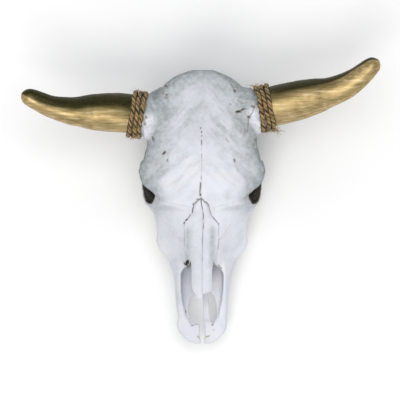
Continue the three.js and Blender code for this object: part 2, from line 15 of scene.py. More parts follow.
import bmesh
import bpy
import numpy as np
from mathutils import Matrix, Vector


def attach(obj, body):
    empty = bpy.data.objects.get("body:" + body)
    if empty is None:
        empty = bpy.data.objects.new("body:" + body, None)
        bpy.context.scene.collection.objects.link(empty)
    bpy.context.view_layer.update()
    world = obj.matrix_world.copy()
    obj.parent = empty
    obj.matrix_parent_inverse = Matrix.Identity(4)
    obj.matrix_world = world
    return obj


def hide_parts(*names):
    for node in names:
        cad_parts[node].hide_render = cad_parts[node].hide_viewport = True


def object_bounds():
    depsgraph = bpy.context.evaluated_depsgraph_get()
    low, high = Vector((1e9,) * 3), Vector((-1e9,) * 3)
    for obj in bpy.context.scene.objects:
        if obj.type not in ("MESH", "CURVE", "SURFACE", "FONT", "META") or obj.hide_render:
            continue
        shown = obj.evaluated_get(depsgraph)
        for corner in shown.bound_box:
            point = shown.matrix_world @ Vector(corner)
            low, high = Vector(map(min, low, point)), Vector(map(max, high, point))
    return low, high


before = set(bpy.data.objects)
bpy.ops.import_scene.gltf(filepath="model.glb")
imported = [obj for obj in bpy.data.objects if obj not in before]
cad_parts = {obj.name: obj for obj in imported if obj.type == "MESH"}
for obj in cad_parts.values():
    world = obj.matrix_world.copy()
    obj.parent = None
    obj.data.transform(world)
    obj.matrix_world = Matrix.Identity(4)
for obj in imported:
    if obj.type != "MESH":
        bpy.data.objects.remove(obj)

CAD_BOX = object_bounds()
MM = 0.001
SIDES = (("left", 1), ("right", -1))
print("nodes:", sorted(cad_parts))

# %% [markdown]
# ## Smooth tables
#
# A skull has no straight edges, so its forms are written as tables of stations:
# each row gives the sizes of one cross-section.  Between the rows the sizes
# follow a curve whose slope at each row is the harmonic mean of the slopes on
# either side.  Such a curve never overshoots, so a table can be read as it is.


# %% Smooth tables
def smooth_rows(rows, count, measured=1):
    """Rows of a table at even steps from its first row to its last.  Distance
    is measured in the first `measured` columns.  Each column is a cubic Hermite
    curve with harmonic-mean slopes."""
    rows = np.asarray(rows, float)
    at = np.r_[0, np.cumsum(np.linalg.norm(np.diff(rows[:, :measured], axis=0), axis=1))]
    steps = np.diff(at)
    secant = np.diff(rows, axis=0) / steps[:, None]
    before, after = secant[:-1], secant[1:]
    rising = before * after > 0
    inner = np.where(rising, 2 * before * after / np.where(rising, before + after, 1), 0)
    slope = np.vstack([secant[:1], inner, secant[-1:]])
    s = np.linspace(0, at[-1], count)
    i = np.clip(np.searchsorted(at, s, side="right") - 1, 0, len(steps) - 1)
    h = steps[i][:, None]
    t = ((s - at[i]) / steps[i])[:, None]
    hermite = rows[i] * (1 + 2 * t) * (1 - t) ** 2 + rows[i + 1] * t * t * (3 - 2 * t)
    return hermite + h * (slope[i] * t * (1 - t) ** 2 - slope[i + 1] * t * t * (1 - t))


def unit_ring(count, power=2.0):
    """x and z round a unit superellipse: a circle at power 2, nearer a box as
    the power grows."""
    turn = np.arange(count) * 2 * np.pi / count
    c, s = np.cos(turn), np.sin(turn)
    return np.sign(c) * abs(c) ** (2 / power), np.sign(s) * abs(s) ** (2 / power)


# %% [markdown]
# ## Surfaces from grids
#
# Every form below is a grid of points: one row for each station and one column
# for each place round the section.  Neighbouring rows are joined by four-sided
# faces and the two ends are closed, which makes a watertight shell.


# %% Surfaces from grids
def shell(grid, loop=False):
    """Points and faces of a closed shell.  Row i of the grid is a ring of
    points.  The rings are joined in order, and the ends are fans to their
    middles, or the last ring joins the first in a loop."""
    rows, cols = grid.shape[:2]
    points = grid.reshape(-1, 3)
    i = np.arange(rows if loop else rows - 1)[:, None]
    j = np.arange(cols)[None, :]
    k, n = (j + 1) % cols, (i + 1) % rows
    corners = [i * cols + j, i * cols + k, n * cols + k, n * cols + j]
    quads = np.stack([c.ravel() for c in np.broadcast_arrays(*corners)], axis=1)
    faces = [np.vstack([quads[:, [0, 1, 2]], quads[:, [0, 2, 3]]])]
    if not loop:
        ends = np.vstack([grid[0].mean(axis=0), grid[-1].mean(axis=0)])
        points = np.vstack([points, ends])
        ring, after = np.arange(cols), (np.arange(cols) + 1) % cols
        first, last = len(points) - 2, len(points) - 1
        base = (rows - 1) * cols
        faces.append(np.stack([after, ring, np.full(cols, first)], axis=1))
        faces.append(np.stack([base + ring, base + after, np.full(cols, last)], axis=1))
    faces = np.vstack(faces)
    a, b, c = (points[faces[:, n]] for n in range(3))
    if np.einsum("ij,ij->i", a, np.cross(b, c)).sum() < 0:
        faces = faces[:, ::-1]
    return points, faces


def gather(shells):
    """Several shells as one set of points and faces."""
    offset, points, faces = 0, [], []
    for p, f in shells:
        points.append(p)
        faces.append(f + offset)
        offset += len(p)
    return np.vstack(points), np.vstack(faces)


def put_mesh(name, points, faces):
    """A mesh from points in millimetres and triangles."""
    mesh = bpy.data.meshes.new(name)
    mesh.vertices.add(len(points))
    mesh.vertices.foreach_set("co", np.ascontiguousarray(points * MM, np.float32).ravel())
    mesh.loops.add(faces.size)
    mesh.loops.foreach_set("vertex_index", np.ascontiguousarray(faces, np.int32).ravel())
    mesh.polygons.add(len(faces))
    mesh.polygons.foreach_set("loop_start", np.arange(0, faces.size, faces.shape[1], dtype=np.int32))
    mesh.update(calc_edges=True)
    return mesh


def put_object(name, mesh):
    """An object at the origin that shows a mesh."""
    piece = bpy.data.objects.new(name, mesh)
    bpy.context.scene.collection.objects.link(piece)
    return piece


def read_points(mesh):
    """The points of a mesh, in millimetres."""
    points = np.empty(len(mesh.vertices) * 3, np.float32)
    mesh.vertices.foreach_get("co", points)
    return points.reshape(-1, 3).astype(float) / MM


def set_attribute(mesh, name, values):
    """One number at each point of a mesh, which its material can read."""
    layer = mesh.attributes.new(name, "FLOAT", "POINT")
    layer.data.foreach_set("value", np.ascontiguousarray(values, np.float32).ravel())


# %% [markdown]
# ## The skull's forms
#
# The bone is one body, and its forms are the ones a sculptor would block in
# first: the broad forehead, the brain case below it, the face and the open
# muzzle, and then the orbits, arches and processes of each side.  A table
# holds each form's stations, from one end to the other.

# %% Tables of the skull
# y, half width, top, height of the side edge, underside
FOREHEAD = [
    [226.5, 20, 168, 153, 138], [219, 41, 174, 151, 126], [204, 63.5, 179, 149, 114],
    [180, 82, 181, 148, 110], [150, 90, 180, 148, 112], [118, 96, 176, 148, 118],
    [92, 96, 172, 148, 122], [74, 100, 169, 146, 122], [54, 109.5, 165, 141, 122],
    [40, 108, 162, 140, 122], [27, 101, 160, 140, 121], [16, 88, 158, 139, 119],
    [6, 77, 154, 137, 115], [-8, 62, 147, 130, 108],
]
# y, half width, top, underside
BRAINCASE = [
    [14, 43, 148, 70], [48, 47, 150, 62], [88, 57, 154, 56], [128, 66, 158, 52],
    [168, 74, 160, 50], [190, 68, 150, 56], [203, 44, 128, 72],
]
NUCHAL = [[140, 66, 128, 62], [162, 90, 132, 58], [184, 95, 130, 62], [198, 74, 122, 72]]
BASE_BAR = [
    [186, 36, 78, 42], [162, 29, 78, 30], [150, 31, 78, 26], [122, 23, 76, 36],
    [88, 17, 74, 42], [44, 13, 76, 46], [10, 10, 80, 50],
]
# y, top, then x and z of the roof's corner, upper cheek, cheek, lower cheek
# and tooth edge, and last the height of the palate
FACE = [
    [40, 148, 36, 144, 44, 122, 46, 100, 46, 76, 44, 48, 48],
    [24, 152, 42, 147, 56, 126, 60, 100, 64, 70, 62, 36, 44],
    [10, 152, 58, 147, 74, 133, 79, 103, 77, 70, 67, 31, 42],
    [-5, 149, 60, 144, 77, 130.5, 86.5, 103.5, 85, 72, 69, 30, 40],
    [-20, 143, 34, 139, 64, 121, 80, 93, 79.5, 66, 70, 30, 39],
    [-40, 138, 33, 134, 58, 112, 77, 84, 78, 64, 70, 30, 38],
    [-60, 133, 31.5, 129, 52, 105, 72, 80, 78.5, 63, 68, 31, 38],
    [-71, 130, 30, 126, 48, 102, 69, 79, 80, 62, 66, 32, 37],
    [-85, 126, 28.5, 122, 43, 100, 59, 79, 75.5, 61, 63, 34, 37],
    [-97, 123, 27, 118, 40, 98, 54, 77, 65.5, 60, 56, 36, 38],
    [-108, 118, 26, 113.5, 38.5, 97, 49.5, 76, 57, 58, 51.5, 38, 39],
    [-122, 108, 23, 103, 36.5, 94, 47.5, 74, 51.5, 57, 46.5, 40, 41],
]
# y, then x and z of the wall's crest, outer face and lower edge, and the palate
MUZZLE = [
    [-96, 37, 97, 62, 59, 55, 36, 38],
    [-111, 39.5, 100, 57.5, 59, 52, 38, 39],
    [-130, 40.5, 93, 50.5, 58, 46, 40, 41],
    [-150, 40.5, 85, 47.6, 58, 44, 42, 43],
    [-172, 40, 75, 46, 56, 43, 43, 45],
    [-190, 38.5, 66, 44.2, 54, 42, 43, 46],
    [-206, 36.5, 58, 41.8, 51, 39.5, 43, 46],
    [-218, 36, 54, 44, 49, 41, 42, 45],
    [-229, 34, 51, 41.5, 47, 39, 40, 43],
    [-237, 28, 49, 35, 45, 33, 39, 42],
    [-246, 18, 47, 26, 43, 24, 38, 41],
    [-252.5, 7, 45, 12, 42, 11, 39, 40],
]
# y, half width and height of the floor, half width and height of the top
NASAL_CAVITY = [
    [-34, 12, 62, 12, 104], [-60, 23, 50, 19, 120], [-90, 29, 47, 21, 119],
    [-104, 32, 47, 17, 115], [-108, 33, 47, 17, 125], [-114, 33, 47, 19, 125], [-118, 33, 47, 26, 125],
    [-122, 33.5, 47.5, 30.5, 125], [-130, 34, 48, 36, 130], [-150, 35, 49, 37, 150],
    [-172, 34, 50, 36, 140], [-190, 31, 51, 34, 130],
    [-206, 28, 51, 31, 120], [-217, 20, 54.2, 25, 110],
]
# y, half width on the left, half width on the right, height
NASALS = [
    [3, 2, 5, 152],
    [-4, 8.5, 12.5, 151],
    [-9, 12, 15.5, 149.8],
    [-20, 14.5, 17, 146.5],
    [-30, 20, 23.5, 143.6],
    [-38, 26.5, 30, 141.3],
    [-45, 29.8, 31.3, 139.3],
    [-69, 29.5, 31, 133],
    [-90, 27, 28.5, 127.5],
    [-101, 24.5, 25.5, 124.5],
    [-109, 20.5, 19.5, 122],
    [-125, 17.5, 18.5, 118],
    [-146, 17.5, 18, 112.5],
    [-157, 16.5, 16.5, 109.5],
    [-164, 10.5, 12, 107.5],
]
NASAL_TIP = [-175, 9.5, 104.5]
NASAL_THICKNESS, NASAL_CROWN, NASAL_DROP = 5, 3, 5
SUTURE_GAP = 0.1

# %% Tables of one side
# x, y, z, radius round the orbit's rim
ORBIT_RIM = [
    [106, 52, 138, 4.6], [101.5, 38, 141, 4.6], [93, 28, 142, 4.6], [84.5, 19.5, 139, 4.6],
    [77, 10.5, 132, 4.6], [80, 0, 119, 4.4], [86, -8, 104, 3.8], [94, -6, 92, 3.2],
    [100.5, 9, 85, 3], [102.5, 32, 84, 3], [102, 54, 91, 3.4], [101, 66, 108, 4.2],
    [102.5, 65, 126, 4.6],
]
# x, y, z, half height, half width
CHEEK_ARCH = [
    [72, -40, 74, 8, 7],
    [77, -20, 76, 12, 8],
    [88, 0, 78, 11, 9.5],
    [98, 22, 77, 8.5, 5.5],
    [100.5, 48, 80, 8.5, 5],
    [98, 72, 88, 8.5, 4.5],
    [90, 100, 97, 8, 4.5],
    [82, 128, 98, 8, 6],
    [62, 148, 92, 10, 10],
]
POSTORBITAL_BAR = [
    [102.5, 62, 140, 8, 5],
    [102, 64, 120, 6.5, 4.5],
    [100.5, 64, 104, 7, 4.5],
    [99.5, 60, 88, 9, 4.5],
]
JUGULAR_PROCESS = [
    [64, 176, 96, 17, 12], [61, 177, 60, 13, 9], [57, 176, 26, 9, 6.5], [55, 175, -6, 7, 5],
]
EAR_TUBE = [[44, 144, 72, 11, 9], [70, 149, 80, 9, 9], [88, 152, 86, 9, 9]]
# middle, radii
CONDYLE = ([27, 190, 48], [20, 20, 25])
BULLA = ([42, 136, 50], [13, 20, 21])
LACRIMAL_BULLA = ([60, 22, 64], [17, 26, 20])
# middle (x, y), length along the row, width
TEETH = [
    [57, 21, 26.4, 21], [60, -4.5, 23.4, 23], [61, -27.5, 21.4, 22], [59, -47, 16.4, 19],
    [56, -64.5, 17.4, 16], [51, -81.5, 15.4, 13],
]
BITE_SLOPE, BITE_START, GUM_HEIGHT = 0.118, 8, 46

# %% Tables of the horns
# x, y, z, radius
HORN_LEFT = [
    [109.7, 161, 148, 34.6], [140, 168, 147, 35.4], [172, 175.6, 146, 34.4],
    [203, 183.5, 147, 30.4], [224, 189.5, 149, 26], [245, 197.5, 153, 23.8],
    [266, 209.5, 159, 21.2], [284, 223.5, 166, 18.6], [299, 236.5, 173, 14.8],
    [308.5, 244, 177, 7.5],
]
HORN_RIGHT = [
    [-113, 150, 148, 34.4], [-135, 152.5, 147.5, 34.8], [-158, 153.8, 147, 34.3],
    [-189, 154.6, 147, 31.8], [-221, 155.6, 149, 26], [-242, 158.8, 152, 22.8],
    [-263, 163.8, 157, 19.6], [-284, 172.4, 164, 17.6], [-303, 181, 171, 15],
    [-314.5, 186, 176, 8],
]
# distance from the end of the neck, half width across, half height
NECK_LEFT = [[-62, 45, 24], [-45, 44.5, 31], [-28, 43.5, 36], [-12, 42, 38.5], [8, 42, 38.5]]
NECK_RIGHT = [[-62, 41, 24], [-45, 39, 31], [-28, 38, 35], [-12, 37, 36.5], [8, 37, 36.5]]
ROPE_TURNS, ROPE_PITCH, ROPE_MIDDLE, ROPE_BED = 3, 8.6, 38.2, 34.3

# %% [markdown]
# ## Lofts and sweeps
#
# These helpers turn the tables into rings of points.  A loft stacks sections
# along Y.  A sweep carries a ring along a path, square to the path, which suits
# bars, arches, tubes and horns.


# %% Lofts and sweeps
def loft_rings(rows, count, sides, power):
    """Superellipse sections along Y.  Rows give y, half width, top, height of
    the widest place and underside."""
    y, half, top, edge, low = (c[:, None] for c in smooth_rows(rows, count).T)
    c, s = unit_ring(sides, power)
    z = edge + s * np.where(s > 0, top - edge, edge - low)
    return np.stack([half * c, y + 0 * c, z], axis=2)


def with_middle(rows):
    """Rows of y, half width, top and underside, widest halfway up."""
    return [[y, half, top, (top + low) / 2, low] for y, half, top, low in rows]


def round_ring(keys, per):
    """A closed curve through key points.  Each span is a Catmull-Rom cubic of
    the four points about it, sampled `per` times."""
    p = [np.roll(keys, shift, axis=1)[:, :, None] for shift in (1, 0, -1, -2)]
    t = (np.arange(per) / per)[None, None, :, None]
    curve = 0.5 * (2 * p[1] + (p[2] - p[0]) * t
                   + (2 * p[0] - 5 * p[1] + 4 * p[2] - p[3]) * t ** 2
                   + (3 * p[1] - p[0] - 3 * p[2] + p[3]) * t ** 3)
    return curve.reshape(keys.shape[0], -1, keys.shape[2])


def half_rings(rows, count, half, per=5):
    """Mirrored half sections along Y, rounded.  `half` turns the columns of the
    table into key points from the top middle to the bottom middle."""
    table = smooth_rows(rows, count)
    points = np.stack([np.stack(np.broadcast_arrays(x, z), axis=1) for x, z in half(*table.T)], axis=1)
    other = points[:, -2:0:-1] * [-1, 1]
    ring = round_ring(np.concatenate([points, other], axis=1), per)
    y = np.broadcast_to(table[:, :1], ring.shape[:2])
    return np.stack([ring[..., 0], y, ring[..., 1]], axis=2)


def frames_along(centre, out, closed=False):
    """For each point of a path, the unit vectors along it, across it towards
    `out`, and square to both."""
    if closed:
        along = np.roll(centre, -1, axis=0) - np.roll(centre, 1, axis=0)
    else:
        along = np.gradient(centre, axis=0)
    along /= np.linalg.norm(along, axis=1)[:, None]
    rise = np.cross(along, out)
    rise /= np.linalg.norm(rise, axis=1)[:, None]
    return along, np.cross(rise, along), rise


def rings_round(centre, wide, rise, across, tall):
    """A ring of points round each place of a path, `across` along one unit
    vector and `tall` along the other."""
    return centre[:, None] + wide[:, None] * across[..., None] + rise[:, None] * tall[..., None]


def sweep_rings(rows, count, sides, side=1, power=2.0, closed=False, out=(1, 0, 0)):
    """Rings of half height and half width carried along x, y, z.  The width
    points along `out`, or away from a closed path's middle."""
    rows = np.asarray(rows, float)
    if closed:
        rows = np.vstack([rows, rows[:1]])
    table = smooth_rows(rows, count + closed, 3)
    if closed:
        table = table[:-1]
    centre = table[:, :3]
    away = centre - centre.mean(axis=0) if closed else np.broadcast_to(out, centre.shape)
    _, wide, rise = frames_along(centre, away, closed)
    tall, broad = table[:, 3:4], table[:, -1:]
    c, s = unit_ring(sides, power)
    return rings_round(centre, wide, rise, broad * c, tall * s) * [side, 1, 1]


def ellipsoid_rings(form, side, rows=18, sides=28):
    """Rings of an ellipsoid from pole to pole, with its axis along Z."""
    middle, radii = form
    turn = np.linspace(0.08, np.pi - 0.08, rows)[:, None]
    c, s = unit_ring(sides)
    unit = np.stack([np.sin(turn) * c, np.sin(turn) * s, np.cos(turn) + 0 * c], axis=2)
    return (unit * radii + middle) * [side, 1, 1]


# %% [markdown]
# ## One watertight bone
#
# The shells overlap, as lumps of clay do.  A voxel remesh welds them into one
# skin.  The hollows of the nose, the palate and the back of the skull are then
# cut with Booleans, and a second remesh gives the skin an even grid that the
# fine relief can be pressed into.  The 1.66 mm voxel is about the smallest detail
# that a picture of the whole skull can show.

# %% Half sections
VOXEL = 1.66


def face_half(y, top, rx, rz, ux, uz, cx, cz, lx, lz, bx, bz, palate):
    """Key points of half a section through the cheeks."""
    return [
        (0 * y, top), (rx * 0.6, top - (top - rz) * 0.25), (rx, rz), (ux, uz), (cx, cz), (lx, lz),
        (bx, bz + 1), (bx - 3, bz - 1), (bx - 20, bz + 3), (bx - 26, palate - 1), (0 * y, palate),
    ]


def muzzle_half(y, tx, tz, ox, oz, lx, lz, palate):
    """Key points of half a section through the open muzzle."""
    return [
        (0 * y, tz), (tx - 4, tz), (tx, tz - 1), ((tx + ox) / 2 + 0.5, (tz + oz) / 2 + 2), (ox, oz),
        (lx, lz + 1), (lx - 4, lz - 0.5), (lx - 12, lz), (0 * y, palate),
    ]


def cavity_half(y, floor_half, floor, top_half, top):
    """Key points of half a section through the nasal cavity."""
    return [
        (0 * y, top), (top_half, top), (floor_half + 1, floor + 12),
        (floor_half - 2, floor + 3), (floor_half - 9, floor), (0 * y, floor),
    ]


# %% Blocks for cutting
def block(outline, low, high, along="z", side=1):
    """A straight block of an outline.  A plan outline runs up Z and a side
    outline runs along X, from low to high."""
    flat = np.asarray(outline, float)
    ends = [np.c_[flat, np.full(len(flat), level)] for level in (low, high)]
    if along == "x":
        ends = [end[:, [2, 0, 1]] for end in ends]
    points = np.vstack(ends) * [side, 1, 1]
    n = len(flat)
    mesh = bpy.data.meshes.new("block")
    walls = [[i, (i + 1) % n, n + (i + 1) % n, n + i] for i in range(n)]
    mesh.from_pydata((points * MM).tolist(), [], [list(range(n))[::-1], list(range(n, 2 * n))] + walls)
    return outwards(mesh)


def outwards(mesh):
    """The mesh in triangles, with its faces turned outwards."""
    work = bmesh.new()
    work.from_mesh(mesh)
    bmesh.ops.triangulate(work, faces=work.faces)
    bmesh.ops.recalc_face_normals(work, faces=work.faces)
    work.to_mesh(mesh)
    work.free()
    return mesh


def applied(mesh, *settings):
    """The mesh after modifiers.  Each setting is a modifier type and its
    values; a Boolean's object is given as a mesh."""
    piece = put_object("work", mesh)
    helpers = []
    for kind, values in settings:
        modifier = piece.modifiers.new(kind.title(), kind)
        for key, value in values.items():
            if isinstance(value, bpy.types.Mesh):
                value = put_object("helper", value)
                helpers.append(value)
            setattr(modifier, key, value)
    graph = bpy.context.evaluated_depsgraph_get()
    result = bpy.data.meshes.new_from_object(piece.evaluated_get(graph), depsgraph=graph)
    for extra in [piece, *helpers]:
        bpy.data.objects.remove(extra)
    return result


def boolean(mesh, cutter, operation="DIFFERENCE"):
    """One mesh cut by, cut to or joined with another."""
    return applied(mesh, ("BOOLEAN", {
        "object": cutter, "operation": operation, "solver": "MANIFOLD",
    }))


def cut_away(mesh, *cutters):
    """A mesh with each of some shells or blocks taken out of it."""
    for cutter in cutters:
        mesh = boolean(mesh, cutter)
    return mesh


# %% [markdown]
# ## Noise
#
# Dry bone is never perfectly even.  Smooth random values on a cubic lattice,
# added at a few sizes, give a surface that undulates like the real one.  The
# values come from a hash of the lattice point, so that every run is the same.


# %% Noise
def value_noise(points, size, seed=0):
    """Random values from -1 to 1 on a lattice of `size` millimetres, blended
    between its eight corners by a smooth step along x, y and z."""
    at = points / size
    cell = np.floor(at).astype(np.int64)
    part = at - cell
    part = part * part * (3 - 2 * part)
    total = np.zeros(len(points))
    for corner in np.ndindex(2, 2, 2):
        i, j, k = (cell + corner).T
        mixed = (i * 73856093) ^ (j * 19349663) ^ (k * 83492791) ^ (seed * 40503 + 977)
        mixed = (mixed ^ (mixed >> 13)) * 1274126177
        value = ((mixed ^ (mixed >> 16)) & 0xFFFF) / 32767.5 - 1
        total += value * np.prod(np.where(corner, part, 1 - part), axis=1)
    return total


def rough(points, size, octaves=3, seed=0):
    """A sum of value noises, each half as large and half as strong as the one
    before it."""
    return sum(value_noise(points, size / 2 ** n, seed + n) / 2 ** n for n in range(octaves))


def step_up(value, low, high):
    """0 below low, 1 above high, and a smooth step between them."""
    t = np.clip((value - low) / (high - low), 0, 1)
    return t * t * (3 - 2 * t)


# %% [markdown]
# ## Horn roots and necks
#
# Each horn grows from a neck of bone that leaves the side of the forehead.  The
# neck is drawn in where the rope is wound, so the rope hides the joint of bone
# and horn.


# %% Horn roots and necks
HORNS = {
    "left": (np.array(HORN_LEFT, float), NECK_LEFT),
    "right": (np.array(HORN_RIGHT, float), NECK_RIGHT),
}
ROPE_HALF = ROPE_TURNS * ROPE_PITCH / 2


def horn_axis(rows):
    """The root of a horn and the unit vector along it there."""
    along = rows[1, :3] - rows[0, :3]
    return rows[0, :3], along / np.linalg.norm(along)


def neck_rings(rows, neck):
    """The neck of bone up to the horn, with a bed for the rope at its end."""
    root, axis = horn_axis(rows)
    kept = [row for row in neck if row[0] < -ROPE_HALF - 2]
    bed = [[-ROPE_HALF - 2.5, 39, 37], [-ROPE_HALF, ROPE_BED, ROPE_BED], [-0.5, ROPE_BED - 1, ROPE_BED - 1]]
    table = [[*(root + axis * d), across, tall] for d, across, tall in kept + bed]
    return sweep_rings(table, 60, 72, out=(0, 0, 1))


# %% [markdown]
# ## Welding the bone
#
# The middle of the skull is six lofts.  Each side adds the neck of a horn, the
# rim and rear bar of the orbit, the cheek arch, the forms about the ear and the
# back of the base, and the pterygoid plate.


# %% Welding the bone
PTERYGOID = [[10, 80], [10, 34], [32, 30], [60, 22], [74, 16], [80, 20], [74, 32], [96, 60], [96, 80]]
PTERYGOID_X, PTERYGOID_HALF = 20, 2.6
CHOANA = [[16, 0], [30, 54], [74, 62], [104, 40], [124, 0]]
CHOANA_HALF = 17
MAGNUM = [[0, 232, 56, 21], [0, 200, 60, 18], [0, 130, 82, 12]]
FISSURE_LEFT = [
    [10, -158], [14, -160], [22.6, -170], [25.5, -180], [26, -196],
    [24.5, -209], [20.7, -217], [18.2, -218], [14.5, -208], [12, -190],
]
FISSURE_RIGHT = [
    [2.2, -158], [-11.5, -163], [-21.5, -171], [-23.5, -182], [-24.5, -196],
    [-20, -204], [-24.5, -211], [-19, -220], [-16, -221], [-11, -218.5],
    [-4.6, -219], [-4.6, -242], [-2, -248], [-5, -256], [5, -256],
    [3.6, -248], [5.5, -240], [5.5, -220], [2.2, -213],
]
FLOOR_PLAN = [[-200, -300], [200, -300], [200, 300], [-200, 300]]
# heights from which and to which the fissures and the floor are cut
FISSURE_REACH, FLOOR_REACH = (10, 90), (-50, 0)


def side_shells(side):
    """Every form of one side that stands on the middle of the skull."""
    return [
        shell(sweep_rings(ORBIT_RIM, 150, 20, side, closed=True), loop=True),
        shell(sweep_rings(CHEEK_ARCH, 90, 28, side, 2.6)),
        shell(sweep_rings(POSTORBITAL_BAR, 30, 24, side)),
        shell(sweep_rings(JUGULAR_PROCESS, 60, 28, side)),
        shell(sweep_rings(EAR_TUBE, 30, 28, side, out=(0, 0, 1))),
        *(shell(ellipsoid_rings(form, side)) for form in (CONDYLE, BULLA, LACRIMAL_BULLA)),
    ]


def remeshed(mesh, voxel=VOXEL):
    """One even skin over everything in the mesh."""
    return applied(mesh, ("REMESH", {"mode": "VOXEL", "voxel_size": voxel * MM, "adaptivity": 0}))


def welded_bone():
    """All the forms of the skull in one skin, with its openings cut."""
    shells = [
        shell(loft_rings(FOREHEAD, 150, 120, 2.4)),
        shell(loft_rings(with_middle(BRAINCASE), 90, 80, 2.5)),
        shell(loft_rings(with_middle(NUCHAL), 40, 80, 2.4)),
        shell(loft_rings(with_middle(BASE_BAR), 80, 48, 2.6)),
        shell(half_rings(FACE, 100, face_half)),
        shell(half_rings(MUZZLE, 110, muzzle_half)),
        *(shell(neck_rings(*HORNS[word])) for word, _ in SIDES),
        *(form for _, side in SIDES for form in side_shells(side)),
    ]
    solid = remeshed(put_mesh("bone", *gather(shells)))
    plates = [
        block(PTERYGOID, PTERYGOID_X - PTERYGOID_HALF, PTERYGOID_X + PTERYGOID_HALF, "x", side)
        for _, side in SIDES
    ]
    for plate in plates:
        solid = boolean(solid, plate, "UNION")
    solid = cut_away(
        solid,
        put_mesh("cavity", *shell(half_rings(NASAL_CAVITY, 80, cavity_half))),
        block(FISSURE_LEFT, *FISSURE_REACH),
        block(FISSURE_RIGHT, *FISSURE_REACH),
        block(CHOANA, -CHOANA_HALF, CHOANA_HALF, "x"),
        put_mesh("magnum", *shell(sweep_rings(MAGNUM, 30, 32))),
        block(FLOOR_PLAN, *FLOOR_REACH),
    )
    return remeshed(solid)


bone = welded_bone()
print("welded bone:", len(bone.vertices), "points")

# %% [markdown]
# ## Softening the welds
#
# Where two lumps meet, the weld leaves a sharp crease, but bone flows.  Each
# point moves halfway to the mean of its neighbours, and a little less far back,
# many times over.  That melts the creases and thins the bone only a little, and
# what it took is put back along the normals.  The brow, where the forehead meets
# the face, is softened most.


# %% Softening the welds
def relaxed(points, edges, rounds, back=0.5):
    """Points after rounds of p + L/2 and then p - back L, where L is the step
    from a point to the mean of its neighbours."""
    a, b = edges.T
    count = np.bincount(edges.ravel(), minlength=len(points))[:, None]
    for _ in range(rounds):
        for step in (0.5, -back):
            near = [
                np.bincount(a, points[b, k], len(points)) + np.bincount(b, points[a, k], len(points))
                for k in range(3)
            ]
            points = points + step * (np.stack(near, axis=1) / count - points)
    return points


def edges_of(mesh):
    """The pairs of points that a mesh joins."""
    pairs = np.empty(len(mesh.edges) * 2, np.int32)
    mesh.edges.foreach_get("vertices", pairs)
    return pairs.reshape(-1, 2)


def normals_of(mesh):
    """The unit normal at each point of a mesh."""
    normals = np.empty(len(mesh.vertices) * 3, np.float32)
    mesh.vertex_normals.foreach_get("vector", normals)
    return normals.reshape(-1, 3).astype(float)


def move_points(mesh, points):
    """Put new places, in millimetres, into a mesh."""
    mesh.vertices.foreach_set("co", np.ascontiguousarray(points * MM, np.float32).ravel())
    mesh.update()


# how far the remesh and the softening draw the skin in
SHRUNK = 0.45
edges = edges_of(bone)
skin = relaxed(read_points(bone), edges, 14, 0.42)
skin = relaxed(skin, edges, 2, 0.5)
brow = step_up(skin[:, 2], 112, 124) * (1 - step_up(abs(skin[:, 1]), 16, 34))
skin += brow[:, None] * (relaxed(skin, edges, 60, 0.46) - skin)
move_points(bone, skin)
skin += SHRUNK * normals_of(bone)
move_points(bone, skin)
print("softened:", skin.min(axis=0).round(1), skin.max(axis=0).round(1))

# %% [markdown]
# ## Relief
#
# The fine relief is pressed into the skin along its normals.  Each groove, crack
# or pit follows a line in plan, long or short, and is deepest on the line.  The
# rough ground by the horns fades with distance from them.


# %% Lines and pits
def line_distance(points, line):
    """Distance in plan from each point to a line of straight stretches."""
    flat = points[:, :2]
    best = np.full(len(flat), 1e9)
    for p, q in zip(line[:-1], line[1:]):
        p, q = np.asarray(p, float), np.asarray(q, float)
        along = np.clip((flat - p) @ (q - p) / ((q - p) @ (q - p)), 0, 1)
        best = np.minimum(best, np.linalg.norm(flat - p - along[:, None] * (q - p), axis=1))
    return best


def zigzag(line, step, depth, seed):
    """A line in plan with a corner every `step`, thrown to one side and the
    other by about `depth`, as a suture wanders."""
    line = np.asarray(line, float)
    at = np.r_[0, np.cumsum(np.linalg.norm(np.diff(line, axis=0), axis=1))]
    s = np.linspace(0, at[-1], max(3, int(at[-1] / step)))
    course = np.stack([np.interp(s, at, line[:, k]) for k in (0, 1)], axis=1)
    along = np.gradient(course, axis=0)
    along /= np.linalg.norm(along, axis=1)[:, None]
    luck = np.random.default_rng(seed).uniform(0.3, 1, len(s))
    throw = luck * depth * np.where(np.arange(len(s)) % 2, 1, -1)
    throw[[0, -1]] = 0
    return course + along[:, ::-1] * [-1, 1] * throw[:, None]


# Holes, cracks and grooves of the upper side.
# line in plan, half width, depth, dirt
FRONTAL_SEAM = [
    ([[-2.1, 127.2], [-2.0, 125.4]], 1.2, 1.3, 0.95), ([[-0.8, 120.4], [-0.8, 118.4]], 1.2, 1.3, 0.9),
    ([[-0.6, 113.4], [-0.4, 111.2]], 1.2, 1.1, 0.8), ([[-0.9, 105.3], [-0.7, 97.2]], 1.3, 1.2, 0.8),
    ([[-0.8, 95], [-1, 87]], 0.9, 0.5, 0.35), ([[-0.8, 81.4], [-0.5, 73.2]], 1.0, 0.9, 0.55),
    ([[-0.5, 72], [-0.6, 44]], 0.9, 0.6, 0.36), ([[-1, 42.6], [-1.2, 36.4]], 1.2, 1.0, 0.6),
    ([[-2.2, 31], [-3.6, 14]], 1.4, 1.9, 0.9), ([[-3, 11.2], [-2.8, 8.6]], 1.7, 2.4, 1.0),
    ([[-1.5, 4.6], [-1.3, -2.4]], 1.4, 1.6, 0.85),
]
